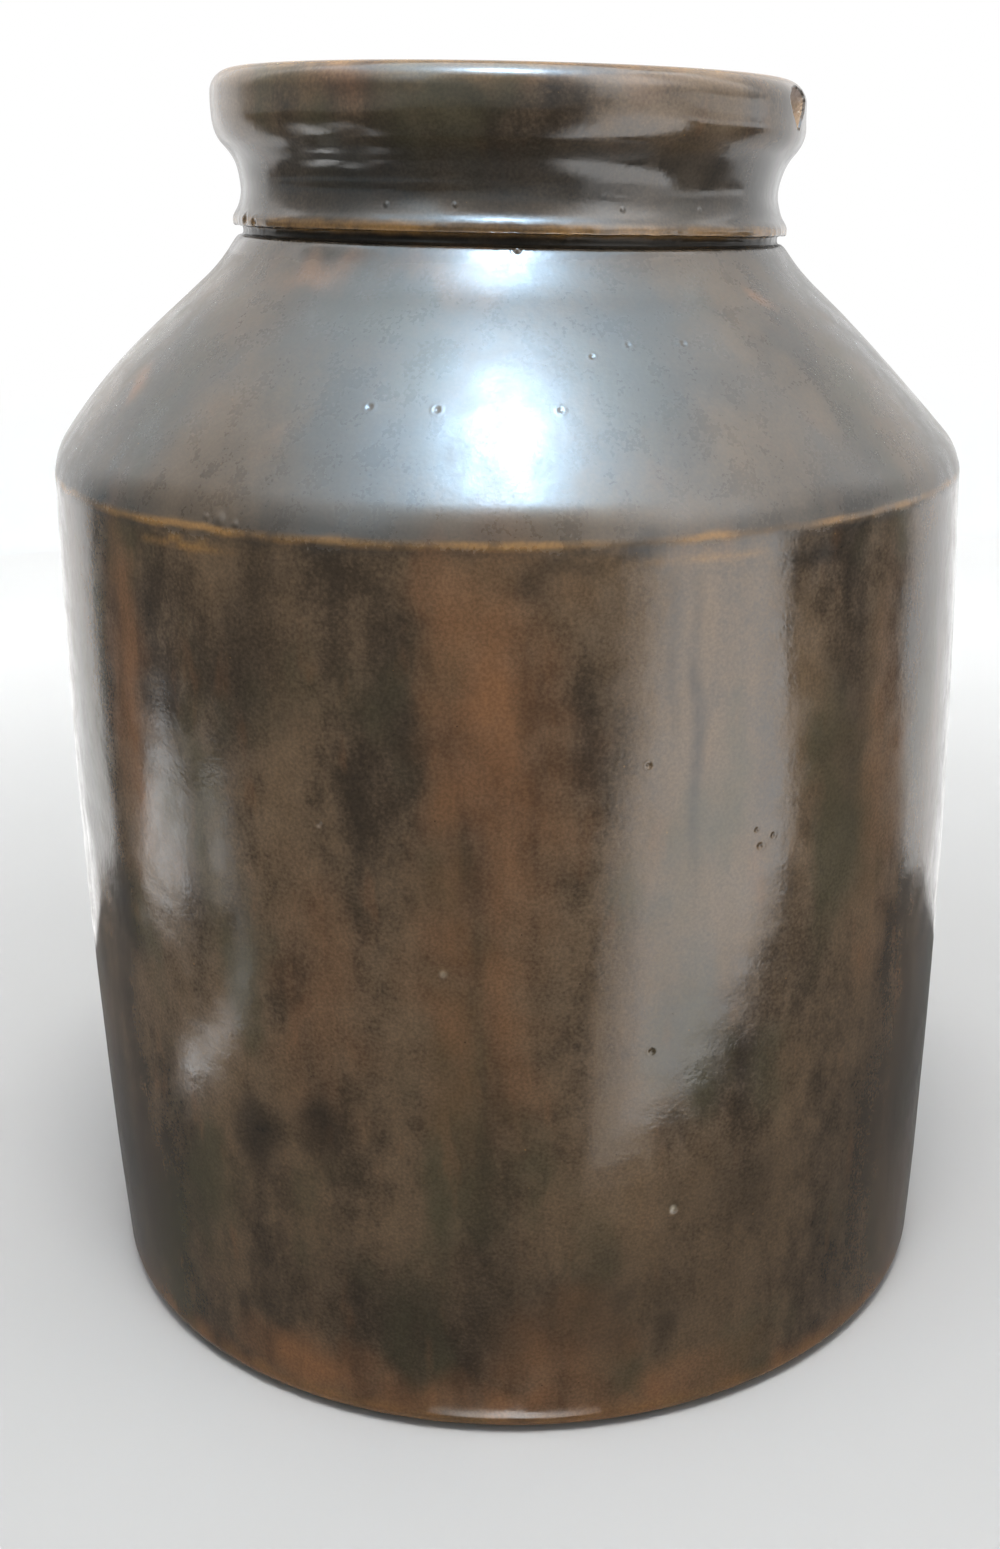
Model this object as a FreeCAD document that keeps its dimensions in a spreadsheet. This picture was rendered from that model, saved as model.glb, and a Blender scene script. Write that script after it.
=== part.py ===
"""Wide-mouthed stoneware crock with a conical shoulder, a stepped neck and a rolled, chipped rim.

The pot is a body of revolution about Z, in millimetres. It stands on Z = 0 with its front
towards -Y, and the chip in the rim is on its right, towards +X.

The clay was worked in three sections, which joining slip holds together: the thrown base and
wall, the shoulder, and the neck with its rim. A thin coat of brown glaze covers the outside down
to the foot, and another lines the inside. The two coats meet on top of the rim. The foot is bare.

Each piece is one revolved outline. The outlines of clay and glaze share the same arcs: an arc of
the glaze has the clay's centre, and a radius that differs by the glaze's thickness.
"""
import FreeCAD, Part

import math
import os

import Sketcher

# Driving dimensions, in millimetres and degrees: name, value, meaning

SIZES = [
    ("belly_radius", 91.3, "clay radius where the wall is widest"),
    ("belly_height", 100.0, "height of the widest place"),
    ("bow_radius", 1900.0, "radius of the wall's slight outward bow"),
    ("base_round", 4.0, "round between the foot and the wall"),
    ("wall_thickness", 8.0, "thickness of the wall and the shoulder"),
    ("floor_thickness", 9.5, "thickness of the base"),
    ("floor_round", 14.0, "round between the floor and the inside of the wall"),
    ("ridge_height", 170.0, "height of the centre of the round between wall and shoulder"),
    ("ridge_inner_round", 4.0, "radius of that round inside the pot"),
    ("joint_drop", 7.0, "drop from that centre to the joint between wall and shoulder"),
    ("shoulder_bow", 220.0, "radius of the shoulder's slight outward bow"),
    ("shoulder_rise", 43.6, "rise from the ridge to the seat on top of the shoulder"),
    ("shoulder_cove", 36.0, "radius of the hollow where the shoulder turns up to the neck"),
    ("mouth_slope", 25.7, "angle of the shoulder's inner side from upright at the mouth"),
    ("mouth_radius", 44.0, "radius of the mouth and the throat below it, in the clay"),
    ("slip_thickness", 0.6, "thickness of the joining slip"),
    ("groove_height", 2.9, "height of the groove under the neck"),
    ("groove_depth", 1.8, "depth of that groove below the neck's foot lip"),
    ("lip_overhang", 1.8, "how far the foot lip stands out past the neck's waist"),
    ("lip_face", 1.4, "height of the foot lip's upright face"),
    ("neck_thickness", 7.8, "least thickness of the neck, at its waist"),
    ("neck_cove", 11.0, "radius of the hollow round the neck"),
    ("rim_overhang", 4.8, "how far the rolled rim stands out past the neck's waist"),
    ("rim_under_round", 7.0, "round under the rolled rim"),
    ("rim_band", 6.2, "height of the rim's upright face, up to the high side of a rim that isn't level"),
    ("rim_top_round", 5.0, "outer round on top of the rim"),
    ("rim_lip_round", 4.0, "inner round on top of the rim"),
    ("glaze_thickness", 0.4, "thickness of both coats of glaze"),
    ("bare_height", 1.5, "height on the round of the base where the outer coat ends"),
    ("chip_turn", 23.0, "angle from +X towards the front at which the rim is chipped"),
    ("chip_offset", 1.1, "distance of the chip's centre outside the rim"),
    ("chip_drop", 9.0, "drop from the top of the rim to the chip's centre"),
    ("chip_half_depth", 2.9, "half depth of the hollow that the chip left"),
    ("chip_half_width", 8.2, "half width of that hollow"),
    ("chip_half_height", 4.8, "half height of that hollow"),
]

document = FreeCAD.newDocument("crock")


def make_sheet():
    """Write the driving dimensions into a spreadsheet, one named cell in each row."""
    cells = document.addObject("Spreadsheet::Sheet", "sizes")
    for row, (alias, value, meaning) in enumerate(SIZES, start=1):
        cells.set(f"A{row}", meaning)
        cells.set(f"B{row}", str(value))
        cells.setAlias(f"B{row}", alias)
    document.recompute()
    return cells


sheet = make_sheet()


class Length:
    """A size with its value and the expression that ties it to the sheet's cells."""

    def __init__(self, value, formula):
        self.value = value
        self.formula = formula

    def __add__(self, other):
        return Length(self.value + other.value, f"({self.formula} + {other.formula})")

    def __sub__(self, other):
        return Length(self.value - other.value, f"({self.formula} - {other.formula})")

    def __mul__(self, other):
        return Length(self.value * other.value, f"({self.formula} * {other.formula})")

    def __truediv__(self, other):
        return Length(self.value / other.value, f"({self.formula} / {other.formula})")


NOTHING = Length(0.0, "0")


def root(square):
    """Return the square root of a size."""
    return Length(math.sqrt(square.value), f"sqrt({square.formula})")


def cosine(angle):
    """Return the cosine of an angle in degrees."""
    return Length(math.cos(math.radians(angle.value)), f"cos({angle.formula} * 1 deg)")


def sine(angle):
    """Return the sine of an angle in degrees."""
    return Length(math.sin(math.radians(angle.value)), f"sin({angle.formula} * 1 deg)")


class Cells:
    """The sheet's cells, read by name as lengths."""

    def __getattr__(self, alias):
        return Length(float(getattr(sheet, alias)), f"<<sizes>>.{alias}")


size = Cells()


# Sizes that follow from the driving ones


def side_of(reach, inset):
    """Return the upright side of a right triangle with a long side and a side shorter by an inset."""
    level = reach - inset
    return root(reach * reach - level * level)


ridge_round = size.wall_thickness + size.ridge_inner_round
joint_height = size.ridge_height - size.joint_drop
joint_top = joint_height + size.slip_thickness
seat_height = size.ridge_height + size.shoulder_rise
neck_foot = seat_height + size.slip_thickness
neck_radius = size.mouth_radius + size.neck_thickness
lip_radius = neck_radius + size.lip_overhang
groove_radius = lip_radius - size.groove_depth
lip_height = seat_height + size.groove_height
waist_height = lip_height + size.lip_face + side_of(size.neck_cove, size.lip_overhang)
rim_radius = neck_radius + size.rim_overhang
band_foot = waist_height + side_of(size.neck_cove + size.rim_under_round, size.rim_overhang)
rim_height = band_foot + size.rim_band + size.rim_top_round
crest_radius = rim_radius - size.rim_top_round


# Plane geometry, as points (radius, height)


def on_circle(centre, radius, direction):
    """Return the point of a circle in a direction given in radians."""
    return (centre[0] + radius * math.cos(direction), centre[1] + radius * math.sin(direction))


def direction_to(start, end):
    """Return the direction from one point to another, in radians."""
    return math.atan2(end[1] - start[1], end[0] - start[0])


def radius_at(centre, radius, height, side):
    """Return where a circle crosses a height, on its outer side (1) or inner side (-1)."""
    rise = height - centre[1]
    return centre[0] + side * math.sqrt(radius ** 2 - rise ** 2)


def height_at(centre, radius, across, side):
    """Return where a circle crosses a distance from the axis, above (1) or below (-1)."""
    run = across - centre[0]
    return centre[1] + side * math.sqrt(radius ** 2 - run ** 2)


def meeting_point(first, first_reach, second, second_reach):
    """Return the point nearer the axis that lies at two given distances from two points."""
    span = math.dist(first, second)
    along = (first_reach ** 2 - second_reach ** 2 + span ** 2) / (2 * span)
    aside = math.sqrt(first_reach ** 2 - along ** 2)
    way = direction_to(first, second)
    foot = on_circle(first, along, way)
    quarter = math.pi / 2
    return min(on_circle(foot, aside, way - quarter), on_circle(foot, aside, way + quarter))


class Centres:
    """The centres of the arcs that clay and glaze share."""

    def __init__(self):
        inner_cove = size.shoulder_cove + size.wall_thickness
        self.wall_across = size.belly_radius - size.bow_radius
        self.cove_across = size.mouth_radius + inner_cove * cosine(size.mouth_slope)
        self.cove_up = seat_height + inner_cove * sine(size.mouth_slope)
        self.floor_up = size.floor_thickness + size.floor_round
        self.neck_across = neck_radius + size.neck_cove
        self.rim_top_up = rim_height - size.rim_top_round
        self.wall = (self.wall_across.value, size.belly_height.value)
        self.base = self.inside_wall_arc(size.base_round, size.base_round)
        self.ridge = self.inside_wall_arc(ridge_round, size.ridge_height)
        self.cove = (self.cove_across.value, self.cove_up.value)
        self.shoulder = meeting_point(
            self.ridge, (size.shoulder_bow - ridge_round).value,
            self.cove, (size.shoulder_bow + size.shoulder_cove).value)
        self.floor = self.inside_wall_arc(size.wall_thickness + size.floor_round, self.floor_up)
        self.neck = (self.neck_across.value, waist_height.value)
        self.rim_under = ((rim_radius - size.rim_under_round).value, band_foot.value)
        self.rim_top = (crest_radius.value, self.rim_top_up.value)
        self.rim_lip = (
            (size.mouth_radius + size.rim_lip_round).value, (rim_height - size.rim_lip_round).value)

    def inside_wall_arc(self, inset, height):
        """Return the centre of a circle that touches the wall's arc from inside."""
        reach = (size.bow_radius - inset).value
        return (radius_at(self.wall, reach, height.value, 1), height.value)


centres = Centres()


def wall_point(offset, height):
    """Return the point of the wall's side at a height, at an offset outwards from the clay."""
    return (radius_at(centres.wall, (size.bow_radius + offset).value, height.value, 1), height.value)


def cove_point(offset, height):
    """Return the point of the hollow below the neck at a height."""
    return (radius_at(centres.cove, (size.shoulder_cove - offset).value, height.value, -1), height.value)


def touch(outer_centre, outer_radius, inner_centre, offset):
    """Return the point where an arc meets the next one smoothly, at an offset outwards."""
    way = direction_to(outer_centre, inner_centre)
    return on_circle(outer_centre, (outer_radius + offset).value, way)


def base_touch(offset):
    """Return where the round of the base becomes the wall's side."""
    return touch(centres.wall, size.bow_radius, centres.base, offset)


def ridge_touch(offset):
    """Return where the wall's side becomes the round of the ridge."""
    return touch(centres.wall, size.bow_radius, centres.ridge, offset)


def shoulder_touch(offset):
    """Return where the round of the ridge becomes the shoulder's side."""
    return touch(centres.shoulder, size.shoulder_bow, centres.ridge, offset)


def cove_touch(offset):
    """Return where the shoulder's side becomes the hollow below the neck."""
    return touch(centres.shoulder, size.shoulder_bow, centres.cove, offset)


def floor_touch(offset):
    """Return where the inside of the wall becomes the round at the floor."""
    return touch(centres.wall, size.bow_radius, centres.floor, offset)


def rim_touch(offset):
    """Return where the neck's hollow becomes the round under the rim."""
    return touch(centres.neck, size.neck_cove, centres.rim_under, NOTHING - offset)


class Outline:
    """A closed outline in a body's XZ plane, drawn point by point and bound to the sheet."""

    def __init__(self, name, start):
        self.body = document.addObject("PartDesign::Body", name)
        self.body.Label = name
        self.sketch = self.body.newObject("Sketcher::SketchObject", name + "_outline")
        self.sketch.AttachmentSupport = [(origin_plane(self.body, "XZ_Plane"), "")]
        self.sketch.MapMode = "FlatFace"
        self.home = start
        self.pen = start
        self.first = None
        self.last = None

    def constrain(self, kind, *where, length=None):
        """Add a constraint, and bind its value to a length."""
        if length is None:
            self.sketch.addConstraint(Sketcher.Constraint(kind, *where))
            return
        index = self.sketch.addConstraint(Sketcher.Constraint(kind, *where, length.value))
        self.sketch.setExpression(f"Constraints[{index}]", length.formula)

    def join(self, shape, begin, finish, smooth):
        """Tie a new line or arc to the one before it, with or without a smooth joint."""
        if self.last is None:
            self.first = (shape, begin)
        else:
            kind = "Tangent" if smooth else "Coincident"
            self.constrain(kind, *self.last, shape, begin)
        self.last = (shape, finish)

    def line(self, point, smooth=False):
        """Draw a slanted line from the pen to a point."""
        shape = self.sketch.addGeometry(Part.LineSegment(flat(self.pen), flat(point)))
        self.join(shape, 1, 2, smooth)
        self.pen = point
        return shape

    def level(self, across, smooth=False):
        """Draw a level line to a distance from the axis."""
        shape = self.line((across, self.pen[1]), smooth)
        self.constrain("Horizontal", shape)

    def upright(self, up, smooth=False):
        """Draw an upright line to a height."""
        shape = self.line((self.pen[0], up), smooth)
        self.constrain("Vertical", shape)

    def arc(self, centre, radius, point, turn, smooth=False):
        """Draw an arc from the pen to a point, turning left or right about its centre."""
        circle = Part.Circle(flat(centre), FreeCAD.Vector(0, 0, 1), radius.value)
        from_pen = direction_to(centre, self.pen)
        to_point = direction_to(centre, point)
        if turn == "left":
            shape = self.sketch.addGeometry(Part.ArcOfCircle(circle, from_pen, to_point))
            self.join(shape, 1, 2, smooth)
        else:
            shape = self.sketch.addGeometry(Part.ArcOfCircle(circle, to_point, from_pen))
            self.join(shape, 2, 1, smooth)
        self.constrain("Radius", shape, length=radius)
        self.pen = point
        return shape

    def centre_across(self, shape, length):
        """Hold an arc's centre at a distance from the axis."""
        self.constrain("DistanceX", -1, 1, shape, 3, length=length)

    def centre_up(self, shape, length):
        """Hold an arc's centre at a height above the foot."""
        self.constrain("DistanceY", -1, 1, shape, 3, length=length)

    def first_up(self, length):
        """Hold the first point at a height above the foot."""
        self.constrain("DistanceY", -1, 1, *self.first, length=length)

    def pen_across(self, length):
        """Hold the pen's point at a distance from the axis."""
        self.constrain("DistanceX", -1, 1, *self.last, length=length)

    def pen_up(self, length):
        """Hold the pen's point at a height above the foot."""
        self.constrain("DistanceY", -1, 1, *self.last, length=length)

    def pen_on_axis(self):
        """Hold the pen's point on the axis."""
        self.constrain("PointOnObject", *self.last, -2)

    def close(self, straight=False):
        """Tie the last point to the first, with a straight line between them if there is a gap."""
        if straight:
            self.line(self.home)
        self.constrain("Coincident", *self.last, *self.first)

    def revolve(self):
        """Turn the outline about Z into a solid."""
        turn = self.body.newObject("PartDesign::Revolution", self.body.Name + "_turn")
        turn.Profile = self.sketch
        turn.ReferenceAxis = (self.sketch, ["V_Axis"])
        turn.Angle = 360.0
        return self.body


def origin_plane(body, role):
    """Return one of the planes of a body's own origin."""
    return next(item for item in body.Origin.OriginFeatures if item.Role == role)


def flat(point):
    """Return a point of an outline as a vector of its sketch."""
    return FreeCAD.Vector(point[0], point[1], 0)


# Stretches of outline, each drawn at an offset outwards from the outer surface of the clay


def wall_arc(outline, offset, point, turn, smooth=False):
    """Draw the wall's bowed side to a point."""
    shape = outline.arc(centres.wall, size.bow_radius + offset, point, turn, smooth)
    outline.centre_across(shape, centres.wall_across)
    outline.centre_up(shape, size.belly_height)


def ridge_arc(outline, offset, point, turn):
    """Draw the round between the wall and the shoulder."""
    shape = outline.arc(centres.ridge, ridge_round + offset, point, turn, smooth=True)
    outline.centre_up(shape, size.ridge_height)


def shoulder_arc(outline, offset, point, turn):
    """Draw the shoulder's bowed side."""
    outline.arc(centres.shoulder, size.shoulder_bow + offset, point, turn, smooth=True)


def cove_arc(outline, offset, point, turn, smooth=False):
    """Draw the hollow between the shoulder and the neck."""
    shape = outline.arc(centres.cove, size.shoulder_cove - offset, point, turn, smooth)
    outline.centre_across(shape, centres.cove_across)
    outline.centre_up(shape, centres.cove_up)


def shoulder_up(outline, offset, end, smooth=False):
    """Draw from the wall's side up over the ridge and the shoulder to a point of the cove."""
    wall_arc(outline, offset, ridge_touch(offset), turn="left", smooth=smooth)
    ridge_arc(outline, offset, shoulder_touch(offset), turn="left")
    shoulder_arc(outline, offset, cove_touch(offset), turn="left")
    cove_arc(outline, offset, end, turn="right", smooth=True)


def shoulder_down(outline, offset, end):
    """Draw from the cove down over the shoulder and the ridge to a point of the wall's side."""
    cove_arc(outline, offset, cove_touch(offset), turn="left")
    shoulder_arc(outline, offset, shoulder_touch(offset), turn="right")
    ridge_arc(outline, offset, ridge_touch(offset), turn="right")
    wall_arc(outline, offset, end, turn="right", smooth=True)


def floor_arc(outline, coat, point, turn):
    """Draw the round between the inside of the wall and the floor, at a coat's thickness above it."""
    shape = outline.arc(centres.floor, size.floor_round - coat, point, turn, smooth=True)
    outline.centre_up(shape, centres.floor_up)


def neck_arc(outline, offset, point, turn, smooth=False):
    """Draw the hollow side of the neck."""
    shape = outline.arc(centres.neck, size.neck_cove - offset, point, turn, smooth)
    outline.centre_across(shape, centres.neck_across)
    outline.centre_up(shape, waist_height)


def neck_up(outline, offset):
    """Draw the neck and the rolled rim, from the foot lip up to the crest of the rim."""
    side = (rim_radius + offset).value
    neck_arc(outline, offset, rim_touch(offset), turn="right")
    outline.arc(
        centres.rim_under, size.rim_under_round + offset, (side, centres.rim_under[1]),
        turn="left", smooth=True)
    outline.upright(centres.rim_top[1], smooth=True)
    outline.pen_across(rim_radius + offset)
    crest = (crest_radius.value, (rim_height + offset).value)
    top_arc = outline.arc(
        centres.rim_top, size.rim_top_round + offset, crest, turn="left", smooth=True)
    outline.centre_up(top_arc, centres.rim_top_up)
    outline.pen_across(crest_radius)


# The sections of clay


def lower_body():
    """Make the base and wall, up to the shoulder joint."""
    inside = NOTHING - size.wall_thickness
    outline = Outline("lower_body", (0.0, 0.0))
    outline.level(centres.base[0])
    outline.constrain("Coincident", *outline.first, -1, 1)
    outline.arc(centres.base, size.base_round, base_touch(NOTHING), turn="left", smooth=True)
    wall_arc(outline, NOTHING, wall_point(NOTHING, joint_height), turn="left", smooth=True)
    outline.pen_up(joint_height)
    outline.level(wall_point(inside, joint_height)[0])
    wall_arc(outline, inside, floor_touch(inside), turn="right")
    floor_arc(outline, NOTHING, (centres.floor[0], size.floor_thickness.value), turn="right")
    outline.level(0.0, smooth=True)
    outline.pen_on_axis()
    outline.close(straight=True)
    return outline.revolve()


def shoulder_luting():
    """Make the ring of joining slip between the wall and the shoulder."""
    inside = NOTHING - size.wall_thickness
    outline = Outline("shoulder_luting", wall_point(NOTHING, joint_height))
    wall_arc(outline, NOTHING, wall_point(NOTHING, joint_top), turn="left")
    outline.first_up(joint_height)
    outline.pen_up(joint_top)
    outline.level(wall_point(inside, joint_top)[0])
    wall_arc(outline, inside, wall_point(inside, joint_height), turn="right")
    outline.pen_up(joint_height)
    outline.close(straight=True)
    return outline.revolve()


def shoulder_section():
    """Make the shoulder, from the joint at the wall up to the seat of the neck."""
    inside = NOTHING - size.wall_thickness
    outline = Outline("shoulder_section", wall_point(NOTHING, joint_top))
    shoulder_up(outline, NOTHING, cove_point(NOTHING, seat_height))
    outline.first_up(joint_top)
    outline.pen_up(seat_height)
    outline.level(size.mouth_radius.value)
    shoulder_down(outline, inside, wall_point(inside, joint_top))
    outline.pen_up(joint_top)
    outline.close(straight=True)
    return outline.revolve()


def neck_luting():
    """Make the ring of joining slip between the shoulder and the neck."""
    outline = Outline("neck_luting", (size.mouth_radius.value, seat_height.value))
    outline.level(groove_radius.value)
    outline.pen_across(groove_radius)
    outline.pen_up(seat_height)
    outline.upright(neck_foot.value)
    outline.pen_up(neck_foot)
    outline.level(size.mouth_radius.value)
    outline.pen_across(size.mouth_radius)
    outline.upright(seat_height.value)
    outline.close()
    return outline.revolve()


def neck_and_rim():
    """Make the neck with its foot lip and rolled rim."""
    lip_top = lip_height + size.lip_face
    outline = Outline("neck_and_rim", (size.mouth_radius.value, neck_foot.value))
    outline.level(groove_radius.value)
    outline.pen_across(groove_radius)
    outline.pen_up(neck_foot)
    outline.upright(lip_height.value)
    outline.pen_up(lip_height)
    outline.level(lip_radius.value)
    outline.pen_across(lip_radius)
    outline.upright(lip_top.value)
    neck_up(outline, NOTHING)
    outline.level(centres.rim_lip[0])
    mouth_edge = (size.mouth_radius.value, centres.rim_lip[1])
    outline.arc(centres.rim_lip, size.rim_lip_round, mouth_edge, turn="left", smooth=True)
    outline.upright(neck_foot.value, smooth=True)
    outline.pen_across(size.mouth_radius)
    outline.close()
    return outline.revolve()


# The two coats of glaze


def outer_glaze():
    """Make the coat over the outside, from the base's round to the crest of the rim."""
    coat = size.glaze_thickness
    coated_base = size.base_round + coat
    edge_sine = (size.bare_height - size.base_round) / size.base_round
    edge = math.asin(edge_sine.value)
    coated_seat = seat_height + coat
    coated_groove = groove_radius + coat
    coated_lip = lip_radius + coat
    lip_under = lip_height - coat
    lip_top = lip_height + size.lip_face
    neck_reach = (size.neck_cove - coat).value

    outline = Outline("outer_glaze", on_circle(centres.base, coated_base.value, edge))
    base_arc = outline.arc(centres.base, coated_base, base_touch(coat), turn="left")
    outline.centre_up(base_arc, size.base_round)
    outline.first_up(size.base_round + coated_base * edge_sine)
    shoulder_up(outline, coat, cove_point(coat, coated_seat), smooth=True)
    outline.pen_up(coated_seat)
    outline.level(coated_groove.value)
    outline.pen_across(coated_groove)
    outline.upright(lip_under.value)
    outline.pen_up(lip_under)
    outline.level(coated_lip.value)
    outline.pen_across(coated_lip)
    outline.upright(height_at(centres.neck, neck_reach, coated_lip.value, -1))
    neck_up(outline, coat)
    outline.upright(rim_height.value)
    outline.pen_up(rim_height)

    clay_side = (rim_radius.value, centres.rim_top[1])
    outline.arc(centres.rim_top, size.rim_top_round, clay_side, turn="right")
    outline.upright(centres.rim_under[1], smooth=True)
    outline.pen_across(rim_radius)
    outline.arc(
        centres.rim_under, size.rim_under_round, rim_touch(NOTHING), turn="right", smooth=True)
    neck_arc(outline, NOTHING, (lip_radius.value, lip_top.value), turn="left", smooth=True)
    outline.upright(lip_height.value)
    outline.pen_across(lip_radius)
    outline.pen_up(lip_height)
    outline.level(groove_radius.value)
    outline.upright(seat_height.value)
    outline.pen_across(groove_radius)
    outline.pen_up(seat_height)
    outline.level(cove_point(NOTHING, seat_height)[0])
    shoulder_down(outline, NOTHING, base_touch(NOTHING))
    bare_edge = on_circle(centres.base, size.base_round.value, edge)
    base_arc = outline.arc(centres.base, size.base_round, bare_edge, turn="right", smooth=True)
    outline.centre_up(base_arc, size.base_round)
    outline.pen_up(size.bare_height)
    outline.close(straight=True)
    return outline.revolve()


def inner_glaze():
    """Make the coat that lines the inside, from the crest of the rim down to the floor."""
    coat = size.glaze_thickness
    inside = NOTHING - size.wall_thickness
    lined = inside - coat
    lined_mouth = size.mouth_radius - coat
    lined_floor = size.floor_thickness + coat
    crest_top = rim_height + coat
    inner_reach = (size.shoulder_cove - lined).value

    outline = Outline("inner_glaze", (0.0, size.floor_thickness.value))
    outline.level(centres.floor[0])
    outline.constrain("PointOnObject", *outline.first, -2)
    floor_arc(outline, NOTHING, floor_touch(inside), turn="left")
    shoulder_up(outline, inside, (size.mouth_radius.value, seat_height.value), smooth=True)
    outline.pen_up(seat_height)
    outline.upright(centres.rim_lip[1])
    lip_crest = (centres.rim_lip[0], rim_height.value)
    outline.arc(centres.rim_lip, size.rim_lip_round, lip_crest, turn="right", smooth=True)
    outline.level(crest_radius.value, smooth=True)
    outline.pen_across(crest_radius)
    outline.pen_up(rim_height)

    outline.upright(crest_top.value)
    outline.level(centres.rim_lip[0])
    outline.pen_up(crest_top)
    lined_edge = (lined_mouth.value, centres.rim_lip[1])
    outline.arc(centres.rim_lip, size.rim_lip_round + coat, lined_edge, turn="left", smooth=True)
    outline.upright(height_at(centres.cove, inner_reach, lined_mouth.value, -1), smooth=True)
    outline.pen_across(lined_mouth)
    shoulder_down(outline, lined, floor_touch(lined))
    floor_arc(outline, coat, (centres.floor[0], lined_floor.value), turn="right")
    outline.level(0.0, smooth=True)
    outline.pen_on_axis()
    outline.close(straight=True)
    return outline.revolve()


def chip_rim(body):
    """Cut the chip out of the rim's outer edge: a shallow hollow like the inside of a shell."""
    distance = rim_radius + size.chip_offset
    turn = NOTHING - size.chip_turn
    chip = body.newObject("PartDesign::SubtractiveEllipsoid", body.Name + "_chip")
    chip.AttachmentSupport = [(origin_plane(body, "XY_Plane"), "")]
    chip.MapMode = "FlatFace"
    about_z = FreeCAD.Rotation(FreeCAD.Vector(0, 0, 1), turn.value)
    chip.AttachmentOffset = FreeCAD.Placement(FreeCAD.Vector(0, 0, 0), about_z)
    chip.setExpression("AttachmentOffset.Rotation.Angle", turn.formula)
    chip.setExpression("AttachmentOffset.Base.x", (distance * cosine(turn)).formula)
    chip.setExpression("AttachmentOffset.Base.y", (distance * sine(turn)).formula)
    chip.setExpression("AttachmentOffset.Base.z", (rim_height - size.chip_drop).formula)
    chip.setExpression("Radius1", size.chip_half_height.formula)
    chip.setExpression("Radius2", size.chip_half_depth.formula)
    chip.setExpression("Radius3", size.chip_half_width.formula)


def check(bodies):
    """Stop if a feature failed or a piece isn't one valid solid."""
    for item in document.Objects:
        if "Invalid" in item.State or "Error" in item.State:
            raise RuntimeError(f"{item.Label} failed: {item.State}")
    for body in bodies:
        shape = body.Shape
        if shape.isNull() or not shape.isValid() or len(shape.Solids) != 1:
            raise RuntimeError(f"{body.Label} isn't one valid solid")


def write(bodies):
    """Write each piece to its own file and print its size."""
    os.makedirs("parts", exist_ok=True)
    for body in bodies:
        body.Shape.exportStep(f"parts/{body.Label}.step")
        box = body.Shape.optimalBoundingBox(True, False)
        print(f"{body.Label}: {box.XLength:.2f} mm wide, from {box.ZMin:.2f} up to {box.ZMax:.2f} mm")


def main():
    """Build every piece, chip the rim, check the pieces and write them out."""
    neck = neck_and_rim()
    outside = outer_glaze()
    bodies = [
        lower_body(),
        shoulder_luting(),
        shoulder_section(),
        neck_luting(),
        neck,
        outside,
        inner_glaze(),
    ]
    document.recompute()
    chip_rim(neck)
    chip_rim(outside)
    document.recompute()
    check(bodies)
    write(bodies)


main()
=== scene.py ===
"""Looks of the stoneware crock: thrown clay under a glossy brown slip glaze, on a pale floor."""
import math

import bmesh
import bpy
import numpy as np
from mathutils import Euler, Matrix, Quaternion, Vector, noise


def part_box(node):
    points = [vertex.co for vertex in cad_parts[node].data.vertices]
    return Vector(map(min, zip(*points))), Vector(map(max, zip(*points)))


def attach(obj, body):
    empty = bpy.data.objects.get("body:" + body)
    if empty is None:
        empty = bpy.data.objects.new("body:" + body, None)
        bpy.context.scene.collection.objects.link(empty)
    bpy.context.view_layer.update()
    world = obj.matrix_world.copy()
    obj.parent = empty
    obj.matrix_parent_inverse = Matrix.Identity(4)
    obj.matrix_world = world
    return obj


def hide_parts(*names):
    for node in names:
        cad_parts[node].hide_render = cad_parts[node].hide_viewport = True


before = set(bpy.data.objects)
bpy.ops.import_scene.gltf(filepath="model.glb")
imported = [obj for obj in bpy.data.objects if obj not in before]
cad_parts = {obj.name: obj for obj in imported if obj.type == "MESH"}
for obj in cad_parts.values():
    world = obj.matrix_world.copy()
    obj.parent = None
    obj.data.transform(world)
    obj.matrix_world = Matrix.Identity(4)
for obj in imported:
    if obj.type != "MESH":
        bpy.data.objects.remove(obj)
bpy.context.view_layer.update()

# Sizes that the frame gives, in millimetres

MM = 0.001


def top_of(node):
    """Return a CAD node's highest point in millimetres."""
    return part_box(node)[1][2] / MM


def foot_of(node):
    """Return a CAD node's lowest point in millimetres."""
    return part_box(node)[0][2] / MM


JOINT_FOOT = top_of("lower_body")
JOINT_TOP = foot_of("shoulder_section")
SEAT = top_of("shoulder_section")
NECK_FOOT = foot_of("neck_and_rim")
COAT = top_of("outer_glaze") - top_of("neck_and_rim")
BELLY_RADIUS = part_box("outer_glaze")[1][0] / MM - COAT
FLOOR_THICKNESS = foot_of("inner_glaze")

# Sizes of the clay in millimetres, as built

BELLY_HEIGHT = 100.0
BOW_RADIUS = 1900.0
BASE_ROUND = 4.0
WALL = 8.0
FLOOR_ROUND = 14.0
RIDGE_HEIGHT = 170.0
RIDGE_ROUND = 12.0
SHOULDER_BOW = 220.0
SHOULDER_COVE = 36.0
MOUTH_SLOPE = math.radians(25.7)
MOUTH_RADIUS = 44.0
NECK_RADIUS = 51.8
LIP_RADIUS = NECK_RADIUS + 1.8
GROOVE_RADIUS = LIP_RADIUS - 1.8
LIP_HEIGHT = SEAT + 2.35
LIP_TOP = LIP_HEIGHT + 1.0
NECK_COVE = 11.0
RIM_RADIUS = NECK_RADIUS + 4.8
RIM_UNDER_ROUND = 7.0
RIM_BAND = 4.15
RIM_TOP_ROUND = 4.0
RIM_LIP_ROUND = 4.0
BARE_HEIGHT = 1.5

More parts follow.
